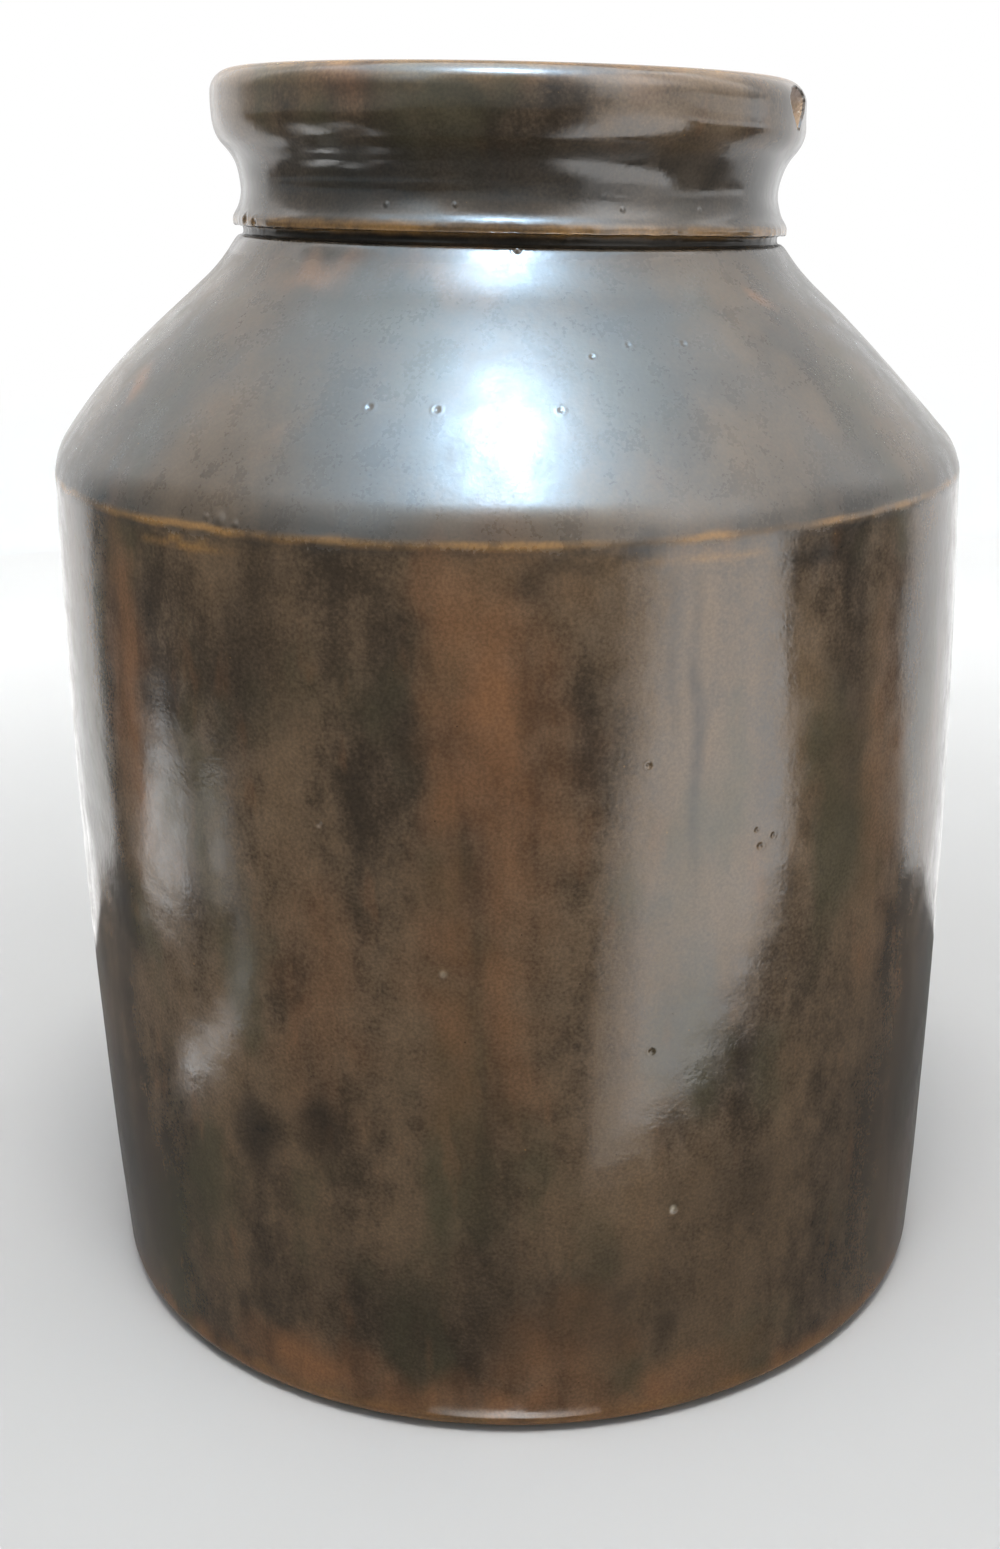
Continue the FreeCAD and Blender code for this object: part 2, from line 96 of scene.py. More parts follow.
# How the pot departs from a true round, in millimetres. The rings slope down to the right, and from
# the ridge up also down to the back, each by a slope at some heights. Throwing rings and the waves
# of the glaze come and go between two heights each.

NECK_SHIFT = 1.3
RING_SLOPES = [(60, 0), (RIDGE_HEIGHT, 0.009), (SEAT, 0.036)]
BACK_SLOPES = [(RIDGE_HEIGHT, 0), (SEAT, 0.031)]
OVALITY = 0.30
INSET = 0.12
WALL_RING = 0.008
NECK_RING = 0.06
INSIDE_RING = 0.40
OUTSIDE_PITCH = 6.5
INSIDE_PITCH = 11.0
WAVE_SIZE = 26.0
WAVE_LIFT = 0.10
RIPPLE_SIZE = 9.0
RIPPLE_LIFT = 0.025
RINGS_START = (4, 20)
RINGS_END = (235, 243)
WAVES_START = (2, 8)
WAVES_END = (238, 245)
RIDGE_BREAK = 171.6
RIDGE_BEAD = 0.16
RIDGE_BEAD_WIDTH = 1.8
STRING_PITCH = 4.2
STRING_DEPTH = 0.22
STRING_SPAN = 76.0
STRING_OVAL = 0.8
STRING_MIDDLE = (-34, -12)

# Thick glaze above the foot lip, where along the pot the ridge has a second, lower edge, and between
# which heights the slate glaze of the shoulder and the neck comes and goes

LIP_POOL = 0.16
SECOND_EDGE = 168.4
SECOND_EDGE_AT = [(-39, 10), (21, 10)]
UPPER_START = (169, 172.5)
UPPER_END = (228, 234)

# Throwing rings that stand out on the neck, each with its azimuth in degrees, its height, its half
# width in degrees, its half height and its depth

NECK_RINGS = [
    (-30, 228.2, 34, 1, 0.13),
    (-30, 223.8, 40, 1.2, 0.15),
    (24, 223.2, 30, 2.2, 0.12),
    (-140, 229, 60, 1.4, 0.12),
    (130, 226, 50, 1.4, 0.12),
]

# Soft dents: azimuth in degrees, height, half width, half height and depth in millimetres

DENTS = [
    (-44, 112, 11, 32, 0.20),
    (-34, 88, 8, 24, -0.14),
    (-48, 70, 13, 18, 0.18),
    (-61, 95, 10, 22, 0.45),
    (-71, 96, 8, 12, 0.45),
    (66, 78, 10, 20, 0.30),
    (-92, 187, 60, 12.5, -0.80),
    (92, 191, 50, 14, 0.50),
]

# Pits and grains in the glaze: azimuth in degrees, height, radius and depth in millimetres

PITS = [
    (-17.9, 190.6, 0.8, 0.32),
    (-9.3, 190.6, 0.8, 0.28),
    (5.9, 190.7, 0.7, 0.30),
    (10.9, 198, 0.6, 0.25),
    (16.6, 199.8, 0.7, 0.28),
    (25.4, 199.8, 0.8, 0.30),
    (-21.6, 123, 0.8, 0.30),
    (14.2, 134, 0.6, 0.30),
    (14.9, 80.6, 0.7, 0.30),
    (27.7, 116.4, 0.7, 0.30),
    (29.4, 117.9, 0.5, 0.28),
    (27.2, 119.5, 0.5, 0.28),
    (17.9, 47.4, 1.2, 0.34),
    (-8.1, 97.2, 1.1, -0.20),
    (-32.7, 173.4, 1.6, -0.22),
    (-30.6, 173, 0.9, -0.15),
    (-34.6, 173.6, 0.8, -0.15),
    (0.7, 213.6, 0.8, -0.34),
    (-24.5, 220.3, 0.6, -0.14),
    (-10.8, 220.5, 0.6, -0.16),
    (21.2, 220.2, 0.6, -0.13),
    (39, 220.4, 0.6, -0.13),
    (-66, 216.9, 1.3, 0.35),
    (-61, 216.3, 1.1, 0.35),
]

# Patches of colour: azimuth in degrees, height, half width, half height in millimetres, strength

RUST = [
    (-1, 136, 14, 38, 1.00),
    (-4, 100, 12, 44, 0.65),
    (-4, 160, 12, 12, 0.60),
    (-22, 88, 11, 30, 0.45),
    (22, 7, 16, 9, 1.00),
    (-28, 9, 18, 10, 1.00),
    (4, 18, 16, 15, 0.75),
    (-6, 6, 30, 7, 1.00),
    (-50, 140, 8, 36, 0.85),
    (48, 120, 9, 45, 0.40),
    (-12, 209, 22, 4, 0.30),
    (-38, 209, 16, 4, 0.40),
    (47, 205, 5, 3, 0.70),
    (-62, 190, 6, 4, 0.60),
    (0, 243, 60, 4, 0.35),
    (-30, 239, 14, 5, 0.40),
    (120, 60, 30, 30, 0.60),
    (175, 120, 14, 50, 0.60),
    (-130, 30, 34, 14, 0.80),
    (-155, 140, 10, 34, 0.50),
]
# Black patches: pooled glaze, and painted shade low on the front wall
POOLED_AND_SHADED = [
    (13.1, 169.2, 5, 3, 1.00),
    (4, 166, 8, 4, 0.50),
    (-32.1, 60, 7, 9, 0.80),
    (-24, 63, 7, 9, 0.80),
    (-55, 94.9, 8, 16, 0.80),
    (40.6, 139.9, 7, 26, 0.45),
    (35, 167, 8, 4, 0.70),
    (-30, 152, 12, 22, 0.40),
    (-14, 150, 9, 22, 0.30),
    (10, 148, 6, 24, 0.25),
    (19.5, 138, 1.6, 32, 0.75),
    (17, 152, 1.6, 18, 0.50),
    (12, 30, 12, 8, 0.50),
    (17, 21, 4, 7, 0.60),
    (28, 48, 18, 14, 0.40),
    (-6, 38, 10, 10, 0.40),
    # These three broad patches darken the lower front wall as painted shade, for the darker
    # reflection it shows near the foot.
    (58, 44, 34, 50, 0.52),
    (0, 27, 60, 16, 0.42),
    (-60, 34, 30, 26, 0.42),
    (12, 240, 10, 5, 0.50),
    (-5, 237, 12, 4, 0.50),
    (140, 150, 20, 20, 0.60),
    (-110, 80, 16, 40, 0.50),
]

# Flecks of bare clay: azimuth in degrees, height and radius in millimetres, strength

BARE_FLECKS = [(17.9, 47.4, 1, 0.9), (-8.1, 97.2, 1.1, 0.3)]

# The chip in the rim: where it is, its half sizes in millimetres and how rough it broke

CHIP_AZIMUTH = 69.0
CHIP_OFFSET = 1.1
CHIP_HEIGHT = 237.6
CHIP_HALF = (2.9, 7, 4.7)
CHIP_STEPS = 0.5
CHIP_GRIT = 0.16

# Mesh sizes: columns round the pot, spacing of the rows in millimetres, rounds that melt the edges,
# how finely the faces near a pit are cut, and the angle from which an edge looks sharp

COLUMNS = 640
INSIDE_COLUMNS = 320
HIDDEN_COLUMNS = 192
WALL_STEP = 1.1
FINE_STEP = 0.35
INSIDE_STEP = 2.0
HIDDEN_STEP = 3.0
MELT_ROUNDS = 3
PIT_REACH = 3.0
PIT_CUTS = 3
SHARP_ANGLE = math.radians(50)

DOWN = -math.pi / 2
OUT = 0.0
UP = math.pi / 2
IN = math.pi
OUTER = 1.0
INNER = -1.0
UNDER = 0.0


# Arcs of the profile: a centre (radius, height) and a signed radius, negative where it is hollow.
# A point of an arc, or of its offset, lies along the outward normal from the centre.


def below(radius, inset, height):
    """Return the centre of a circle that touches the wall's arc from inside at an inset."""
    reach = BOW_RADIUS - inset
    return (radius + math.sqrt(reach ** 2 - (height - BELLY_HEIGHT) ** 2), height)


def nearer_meeting(first, first_reach, second, second_reach):
    """Return the point nearer the axis at two given distances from two points."""
    span = math.dist(first, second)
    along = (first_reach ** 2 - second_reach ** 2 + span ** 2) / (2 * span)
    aside = math.sqrt(first_reach ** 2 - along ** 2)
    right = (second[0] - first[0]) / span
    up = (second[1] - first[1]) / span
    foot = (first[0] + right * along, first[1] + up * along)
    return min(
        (foot[0] + up * aside, foot[1] - right * aside),
        (foot[0] - up * aside, foot[1] + right * aside))


INNER_COVE = SHOULDER_COVE + WALL
WALL_CENTRE = (BELLY_RADIUS - BOW_RADIUS, BELLY_HEIGHT)
BASE_CENTRE = below(WALL_CENTRE[0], BASE_ROUND, BASE_ROUND)
RIDGE_CENTRE = below(WALL_CENTRE[0], RIDGE_ROUND, RIDGE_HEIGHT)
COVE_CENTRE = (
    MOUTH_RADIUS + INNER_COVE * math.cos(MOUTH_SLOPE), SEAT + INNER_COVE * math.sin(MOUTH_SLOPE))
SHOULDER_CENTRE = nearer_meeting(
    RIDGE_CENTRE, SHOULDER_BOW - RIDGE_ROUND, COVE_CENTRE, SHOULDER_BOW + SHOULDER_COVE)
FLOOR_CENTRE = below(WALL_CENTRE[0], WALL + FLOOR_ROUND, FLOOR_THICKNESS + FLOOR_ROUND)
WAIST = LIP_TOP + math.sqrt(NECK_COVE ** 2 - (NECK_COVE - LIP_RADIUS + NECK_RADIUS) ** 2)
NECK_CENTRE = (NECK_RADIUS + NECK_COVE, WAIST)
UNDER_RISE = NECK_COVE + RIM_UNDER_ROUND
BAND_FOOT = WAIST + math.sqrt(UNDER_RISE ** 2 - (UNDER_RISE - RIM_RADIUS + NECK_RADIUS) ** 2)
UNDER_CENTRE = (RIM_RADIUS - RIM_UNDER_ROUND, BAND_FOOT)
RIM_TOP = BAND_FOOT + RIM_BAND + RIM_TOP_ROUND
TOP_CENTRE = (RIM_RADIUS - RIM_TOP_ROUND, RIM_TOP - RIM_TOP_ROUND)
LIP_CENTRE = (MOUTH_RADIUS + RIM_LIP_ROUND, RIM_TOP - RIM_LIP_ROUND)

BODY_CHAIN = [
    (BASE_CENTRE, BASE_ROUND),
    (WALL_CENTRE, BOW_RADIUS),
    (RIDGE_CENTRE, RIDGE_ROUND),
    (SHOULDER_CENTRE, SHOULDER_BOW),
    (COVE_CENTRE, -SHOULDER_COVE),
]
NECK_CHAIN = [
    (NECK_CENTRE, -NECK_COVE),
    (UNDER_CENTRE, RIM_UNDER_ROUND),
]


def touch(first, second):
    """Return the direction of the normal where two arcs of a chain meet smoothly."""
    gap = first[1] - second[1]
    return math.atan2((second[0][1] - first[0][1]) / gap, (second[0][0] - first[0][0]) / gap)


def at_height(circle, offset, height):
    """Return the direction of the normal where an arc's offset reaches a height."""
    return math.asin((height - circle[0][1]) / (circle[1] + offset))


class Track:
    """A line of profile points, each a radius, a height and the direction of its normal."""

    def __init__(self):
        self.points = []

    def add(self, radius, height, normal):
        """Add one point, unless the last one is already there."""
        if self.points and math.dist(self.points[-1][:2], (radius, height)) < 1e-3:
            return
        self.points.append((radius, height, normal))

    def arc(self, circle, offset, start, end, step):
        """Add an arc between two directions of its normal."""
        centre, radius = circle
        reach = radius + offset
        count = max(2, math.ceil(abs(reach * (end - start)) / step))
        for index in range(count + 1):
            turn = start + (end - start) * index / count
            self.add(centre[0] + reach * math.cos(turn), centre[1] + reach * math.sin(turn), turn)

    def chain(self, circles, offset, start, end, step):
        """Add a chain of arcs, each meeting the next smoothly, in shorter steps on tight arcs."""
        turns = [start]
        for first, second in zip(circles, circles[1:]):
            turns.append(touch(first, second))
        turns.append(end)
        for circle, begin, finish in zip(circles, turns, turns[1:]):
            tight = abs(circle[1]) < SHOULDER_COVE
            self.arc(circle, offset, begin, finish, step / 2 if tight else step)

    def line(self, radius, height, normal, step):
        """Add a straight line to a point."""
        last = self.points[-1]
        count = max(1, math.ceil(math.dist(last[:2], (radius, height)) / step))
        for index in range(1, count + 1):
            part = index / count
            self.add(
                last[0] + (radius - last[0]) * part, last[1] + (height - last[1]) * part, normal)

    def melt(self, low, high, rounds):
        """Round the corners between two heights, the way that glaze flows over an edge."""
        for _ in range(rounds):
            moved = list(self.points)
            for index in range(1, len(self.points) - 1):
                before, here, after = self.points[index - 1:index + 2]
                if low < here[1] < high:
                    moved[index] = tuple(
                        (a + 2 * b + c) / 4 for a, b, c in zip(before, here, after))
            self.points = moved

    def reach(self, height):
        """Return the point where the track first reaches a height, and how many come before it."""
        for index, (here, after) in enumerate(zip(self.points, self.points[1:])):
            if (here[1] - height) * (after[1] - height) > 0:
                continue
            rise = after[1] - here[1]
            part = (height - here[1]) / rise if rise else 0.0
            return tuple(a + (b - a) * part for a, b in zip(here, after)), index + 1
        raise ValueError("the track doesn't reach this height")

    def until(self, height):
        """Return the points up to where the track first reaches a height."""
        cut, count = self.reach(height)
        return self.points[:count] + [cut]

    def since(self, height):
        """Return the points from where the track first reaches a height."""
        cut, count = self.reach(height)
        return [cut] + self.points[count:]

    def between(self, start, end):
        """Return the points from one height to another, which may lie in the same step."""
        begin, first = self.reach(start)
        finish, last = self.reach(end)
        return [begin] + self.points[first:last] + [finish]


def outside_track(offset, start, step, fine):
    """Return the outside of the pot from the base's round to the crest of the rim."""
    track = Track()
    seat = SEAT + offset
    track.chain(BODY_CHAIN, offset, start, at_height(BODY_CHAIN[-1], offset, seat), step)
    track.line(GROOVE_RADIUS + offset, seat, UP, fine)
    track.line(GROOVE_RADIUS + offset, LIP_HEIGHT - offset, OUT, fine)
    track.line(LIP_RADIUS + offset, LIP_HEIGHT - offset, DOWN, fine)
    inward = NECK_CENTRE[0] - LIP_RADIUS - offset
    lip_end = WAIST - math.sqrt((NECK_COVE - offset) ** 2 - inward ** 2)
    track.line(LIP_RADIUS + offset, lip_end, OUT, fine)
    lip_turn = at_height(NECK_CHAIN[0], offset, lip_end)
    track.chain(NECK_CHAIN, offset, lip_turn, OUT, fine * 4)
    track.line(RIM_RADIUS + offset, TOP_CENTRE[1], OUT, fine * 2)
    track.arc((TOP_CENTRE, RIM_TOP_ROUND), offset, OUT, UP, fine * 2)
    track.melt(SEAT - 2, LIP_TOP + 2, MELT_ROUNDS)
    return track


def inside_track(offset, step, fine):
    """Return the inside of the pot from the crest of the rim down to the middle of the floor."""
    track = Track()
    crest = RIM_TOP + offset
    track.add(TOP_CENTRE[0], crest, UP)
    track.line(LIP_CENTRE[0], crest, UP, fine * 2)
    track.arc((LIP_CENTRE, RIM_LIP_ROUND), offset, UP, IN, fine * 2)
    inset = -WALL - offset
    reach = SHOULDER_COVE - inset
    mouth = MOUTH_RADIUS - offset
    meet = COVE_CENTRE[1] - math.sqrt(reach ** 2 - (COVE_CENTRE[0] - mouth) ** 2)
    track.line(mouth, meet, IN, step)
    arcs = BODY_CHAIN[:0:-1] + [(FLOOR_CENTRE, WALL + FLOOR_ROUND)]
    cove_start = math.asin((COVE_CENTRE[1] - meet) / reach)
    track.chain(arcs, inset, cove_start, DOWN, step)
    track.line(0, FLOOR_THICKNESS + offset, DOWN, step)
    return track


# Shapes over the wall, worked out for whole arrays of azimuths and heights at once


def smooth(edge, full, value):
    """Return a smooth step from 0 at one edge to 1 at the other."""
    part = np.clip((value - edge) / (full - edge), 0, 1)
    return part * part * (3 - 2 * part)


def bell(distance):
    """Return a soft bump: 1 in the middle and 0 from a distance of 1."""
    return np.clip(1 - distance ** 2, 0, None) ** 2


def wavering(azimuth, height, size, seed):
    """Return smooth noise over the wall, from about -1 to 1, for features of one size."""
    reach = BELLY_RADIUS / size
    places = np.stack(
        [np.cos(azimuth) * reach, np.sin(azimuth) * reach, height / size + seed], axis=1)
    return np.array([noise.noise(place) for place in places.tolist()])


def apart(azimuth, degrees):
    """Return the angle from an azimuth in degrees, the short way round."""
    return (azimuth - math.radians(degrees) + math.pi) % math.tau - math.pi


def patches(azimuth, height, places):
    """Return how strongly named patches cover each point, their outlines made ragged."""
    shift_across = wavering(azimuth, height, 9, 40)
    shift_up = wavering(azimuth, height, 9, 80) * 6
    cover = np.zeros(len(azimuth))
    for degrees, level, half_width, half_height, strength in places:
        ragged = shift_across * min(6, half_width * 0.6)
        across = (apart(azimuth, degrees) * BELLY_RADIUS + ragged) / half_width
        up = (height - level + shift_up) / half_height
        cover = np.maximum(cover, strength * bell(np.hypot(across, up) * 0.8))
    return cover


GLAZE_START = at_height(BODY_CHAIN[0], 0, BARE_HEIGHT)
VISIBLE_TRACK = outside_track(COAT, GLAZE_START, WALL_STEP, FINE_STEP)
CLAY_OUTSIDE = outside_track(0, DOWN, HIDDEN_STEP, FINE_STEP)
CLAY_INSIDE = inside_track(0, HIDDEN_STEP, FINE_STEP)


def on_surface(degrees, height):
    """Return the point on the pot's outside at an azimuth and a height, in millimetres."""
    for here, after in zip(VISIBLE_TRACK.points, VISIBLE_TRACK.points[1:]):
        if here[1] <= height < after[1]:
            turn = math.radians(degrees)
            return Vector((here[0] * math.sin(turn), -here[0] * math.cos(turn), height))
    raise ValueError("no point of the outside at this height")


def wall_lift(azimuth, height, side):
    """Return how far the clay wall stands out, from its dents, its rings and its ovality."""
    lift = -INSET - OVALITY * np.cos(azimuth) ** 2
    for degrees, level, half_width, half_height, depth in DENTS:
        across = apart(azimuth, degrees) * BELLY_RADIUS / half_width
        lift -= depth * bell(np.hypot(across, (height - level) / half_height) / 1.4)
    unrest = wavering(azimuth, height, 45, 7)
    rise = smooth(*RINGS_START, height) * (1 - smooth(*RINGS_END, height))
    depth = WALL_RING + (NECK_RING - WALL_RING) * smooth(LIP_TOP, WAIST, height)
    outside = np.sin(math.tau * height / OUTSIDE_PITCH + azimuth + 5 * unrest) * depth
    inside = np.sin(math.tau * height / INSIDE_PITCH - azimuth + 4 * unrest) * INSIDE_RING
    return lift + rise * np.where(side > 0, outside, inside)


def film_lift(azimuth, height, places):
    """Return how far the glaze's skin stands out from an even coat."""
    fade = smooth(*WAVES_START, height) * (1 - smooth(*WAVES_END, height))
    lift = fade * WAVE_LIFT * wavering(azimuth, height, WAVE_SIZE, 11)
    lift += fade * RIPPLE_LIFT * wavering(azimuth, height, RIPPLE_SIZE, 23)
    broken = 0.6 + 0.8 * wavering(azimuth, height, 14, 31)
    lift += RIDGE_BEAD * broken * bell((height - RIDGE_BREAK) / RIDGE_BEAD_WIDTH)
    ragged = wavering(azimuth, height * 0.3, 3, 57)
    lift += 0.14 * ragged * bell((height - LIP_HEIGHT) / 2.2)
    lift += LIP_POOL * bell((height - LIP_TOP - 0.6) / 1.4)
    for degrees, level, half_width, half_height, depth in NECK_RINGS:
        across = apart(azimuth, degrees) / math.radians(half_width)
        lift += depth * bell((height - level) / half_height) * bell(across)
    for degrees, level, radius, depth in PITS:
        away = np.linalg.norm(places - np.array(on_surface(degrees, level)), axis=1) / radius
        lift += depth * (0.1 * bell((away - 1.3) / 0.5) - bell(away))
    return lift


# Objects and turned meshes


def added(name, data):
    """Add an object to the scene."""
    made = bpy.data.objects.new(name, data)
    bpy.context.scene.collection.objects.link(made)
    return made


def vertex_places(mesh):
    """Return where every vertex of a mesh is."""
    values = np.empty(len(mesh.vertices) * 3, np.float32)
    mesh.vertices.foreach_get("co", values)
    return values.reshape(-1, 3).astype(float)


def set_attribute(mesh, name, values):
    """Give every vertex of a mesh its value of an attribute."""
    layer = mesh.attributes.new(name, "FLOAT", "POINT")
    layer.data.foreach_set("value", np.array(values, np.float32))


def about_axis(radius, azimuth, height):
    """Return the places for arrays of radii, azimuths and heights."""
    return np.stack([radius * np.sin(azimuth), -radius * np.cos(azimuth), height], axis=1)


def rows(points, side, film=0):
    """Return profile points with the side of the wall that they lie on and their share of film."""
    return [(*point, side, film) for point in points]


class Turned:
    """A closed outline turned about the axis. Each vertex keeps its place on the wall."""

    NAMES = ("wall_normal", "side", "film")

    def __init__(self, outline, columns):
        turns = np.arange(columns) * math.tau / columns
        places = []
        details = []
        rings = []
        for radius, height, *detail in outline:
            around = turns if radius > 1e-6 else turns[:1]
            first = sum(len(part) for part in places)
            rings.append(first + np.arange(len(around)))
            heights = np.full(len(around), height)
            places.append(about_axis(np.full(len(around), radius), around, heights))
            details.append(np.tile(detail, (len(around), 1)))
        self.mesh = bpy.data.meshes.new("turned")
        self.mesh.from_pydata(np.concatenate(places).tolist(), [], self.faces(rings, columns))
        details = np.concatenate(details)
        for column, name in enumerate(self.NAMES):
            set_attribute(self.mesh, name, details[:, column])

    @staticmethod
    def faces(rings, columns):
        """Return the faces between each ring and the next, and from the last to the first."""
        found = []
        index = np.arange(columns)
        after = (index + 1) % columns
        for lower, upper in zip(rings, rings[1:] + rings[:1]):
            if len(lower) == 1 and len(upper) == 1:
                continue
            if len(lower) == 1:
                corners = (lower[index * 0], upper[after], upper[index])
            elif len(upper) == 1:
                corners = (lower[index], lower[after], upper[index * 0])
            else:
                corners = (lower[index], lower[after], upper[after], upper[index])
            found.extend(np.stack(corners, axis=1).tolist())
        return found

    def read(self, name):
        """Return one of the details of every vertex."""
        values = np.empty(len(self.mesh.vertices), np.float32)
        self.mesh.attributes[name].data.foreach_get("value", values)
        return values.astype(float)

    def refine(self, spots, reach, cuts):
        """Divide the faces near some points, so that small pits have a real shape."""
        places = vertex_places(self.mesh)
        close = np.zeros(len(places), bool)
        for spot in spots:
            close |= np.linalg.norm(places - np.array(spot), axis=1) < reach
        close &= self.read("film") > 0.5
        work = bmesh.new()
        work.from_mesh(self.mesh)
        edges = [edge for edge in work.edges if all(close[vert.index] for vert in edge.verts)]
        bmesh.ops.subdivide_edges(work, edges=edges, cuts=cuts, use_grid_fill=True)
        work.to_mesh(self.mesh)
        work.free()

    def settle(self):
        """Press in the dents, rings and pits, tilt the rings and bring the mesh to metres."""
        places = vertex_places(self.mesh)
        normal = self.read("wall_normal")
        side = self.read("side")
        film = self.read("film")
        across = np.hypot(places[:, 0], places[:, 1])
        azimuth = np.arctan2(places[:, 0], -places[:, 1])
        height = places[:, 2]
        lift = wall_lift(azimuth, height, side) * np.where(side == UNDER, 0, 1)
        skin = film > 0.5
        lift[skin] += film_lift(azimuth[skin], height[skin], places[skin])
        lift *= np.clip(across / MOUTH_RADIUS, 0, 1)
        outward = np.maximum(across + lift * np.cos(normal), 0)
        placed = about_axis(outward, azimuth, height + lift * np.sin(normal))
        under = side == UNDER
        placed[under, 2] += string_marks(places[under])
        placed = tilt(placed) * MM
        self.mesh.vertices.foreach_set("co", placed.astype(np.float32).ravel())
        for name in self.NAMES:
            self.mesh.attributes.remove(self.mesh.attributes[name])
        self.mesh.update()


def string_marks(places):
    """Return the depth of the loops that the cutting string left in the underside."""
    away = np.hypot(
        places[:, 0] * STRING_OVAL - STRING_MIDDLE[0], places[:, 1] - STRING_MIDDLE[1])
    loops = 0.5 + 0.5 * np.cos(math.tau * away / STRING_PITCH)
    across = np.hypot(places[:, 0], places[:, 1])
    return STRING_DEPTH * (loops + 0.3) * (1 - smooth(STRING_SPAN - 8, STRING_SPAN, across))


def drop_at(across, along, height):
    """Return how far the sloping rings of the pot lie below their true height at each point."""
    rightward = np.interp(height, *zip(*RING_SLOPES))
    backward = np.interp(height, *zip(*BACK_SLOPES))
    return across * rightward + along * backward


def tilt(places):
    """Shift the neck and tilt the rings of the pot, in millimetres."""
    across, along, height = places.T
    moved = across + NECK_SHIFT * smooth(RIDGE_HEIGHT, SEAT, height)
    return np.stack([moved, along, height - drop_at(across, along, height)], axis=1)


def untilted(places):
    """Return the azimuth and the height that placed points had before the tilt."""
    across, along, height = places.T / MM
    level = height + drop_at(across, along, height)
    shifted = across - NECK_SHIFT * smooth(RIDGE_HEIGHT, SEAT, level)
    return np.arctan2(shifted, -along), height + drop_at(shifted, along, level)


# Materials


class Nodes:
    """A node tree whose nodes are added by short calls."""

    def __init__(self, tree):
        self.tree = tree

    def give(self, socket, value):
        """Set a socket to a value, or link it to another socket."""
        if isinstance(value, bpy.types.NodeSocket):
            self.tree.links.new(value, socket)
        else:
            socket.default_value = value

    def node(self, kind, inputs=None, **settings):
        """Add a node, set what it says and link the sockets that are given."""
        made = self.tree.nodes.new(kind)
        for name, value in settings.items():
            setattr(made, name, value)
        for name, value in (inputs or {}).items():
            self.give(made.inputs[name], value)
        return made

    def ramp(self, value, low, high, first=0, last=1):
        """Return a smooth change between two values of a field."""
        return self.node("ShaderNodeMapRange", {
            "Value": value, "From Min": low, "From Max": high, "To Min": first, "To Max": last,
        }, interpolation_type="SMOOTHSTEP").outputs["Result"]

    def line(self, value, first, last, low=0):
        """Return an even change between two values, as a field goes from a low value to 1."""
        return self.node("ShaderNodeMapRange", {
            "Value": value, "From Min": low, "To Min": first, "To Max": last}).outputs["Result"]

    def sum(self, operation, first, second):
        """Return one sum of two fields, such as MULTIPLY."""
        return self.node("ShaderNodeMath", {0: first, 1: second}, operation=operation).outputs[0]

    def total(self, *parts):
        """Return the total of some fields, each with its own weight."""
        found = None
        for value, weight in parts:
            weighed = self.sum("MULTIPLY", value, weight)
            found = self.sum("ADD", found, weighed) if found else weighed
        return found

    def mix(self, share, first, second):
        """Return a mix of two colours."""
        return self.node(
            "ShaderNodeMix", {0: share, 6: first, 7: second}, data_type="RGBA").outputs[2]

    def shade(self, colour, field):
        """Return a colour made lighter and darker by a field around 1."""
        return self.node(
            "ShaderNodeVectorMath", {0: colour, "Scale": field}, operation="SCALE").outputs[0]

    def shown(self):
        """Return a field that is 1 for rays from the camera, from gloss and through glass."""
        path = self.node("ShaderNodeLightPath").outputs
        seen = self.sum("MAXIMUM", path["Is Camera Ray"], path["Is Glossy Ray"])
        return self.sum("MAXIMUM", seen, path["Is Transmission Ray"])


class Paint(Nodes):
    """The nodes of a new material, with its main shader and its output."""

    def __init__(self, name):
        self.material = bpy.data.materials.new(name)
        self.material.use_nodes = True
        super().__init__(self.material.node_tree)
        self.tree.nodes.clear()
        self.shader = self.node("ShaderNodeBsdfPrincipled")
        self.output = self.node("ShaderNodeOutputMaterial", {"Surface": self.shader.outputs[0]})
        self.place = self.node("ShaderNodeTexCoord").outputs["Object"]

    def surface(self, **inputs):
        """Set or link the sockets of the main shader."""
        for name, value in inputs.items():
            self.give(self.shader.inputs[name.replace("_", " ")], value)

    def marked(self, name):
        """Return an attribute of the mesh."""
        return self.node("ShaderNodeAttribute", attribute_name=name).outputs["Fac"]

    def height(self):
        """Return the height of each place in metres."""
        return self.node("ShaderNodeSeparateXYZ", {"Vector": self.place}).outputs["Z"]

    def grain(self, size, detail=3, stretch=1, shift=0):
        """Return noise from 0 to 1 for features of a size in millimetres, drawn out upward."""
        mapped = self.node("ShaderNodeMapping", {
            "Vector": self.place, "Location": (shift, shift, shift), "Scale": (1, 1, 1 / stretch)})
        return self.node("ShaderNodeTexNoise", {
            "Vector": mapped.outputs[0], "Scale": 1 / (size * MM), "Detail": detail,
        }).outputs["Fac"]

    def specks(self, size, radius, share):
        """Return small round specks, one in some cells of a size in millimetres."""
        cells = self.node("ShaderNodeTexVoronoi", {
            "Vector": self.place, "Scale": 1 / (size * MM), "Randomness": 1.0})
        near = self.ramp(cells.outputs["Distance"], radius / size, radius / size * 0.6)
        parts = self.node("ShaderNodeSeparateColor", {"Color": cells.outputs["Color"]})
        chosen = self.sum("LESS_THAN", parts.outputs[0], share)
        return self.sum("MULTIPLY", near, chosen)

    def bump(self, height, distance):
        """Return a normal from a field, for relief too fine for the mesh."""
        return self.node("ShaderNodeBump", {
            "Height": height, "Distance": distance * MM, "Strength": 1}).outputs[0]


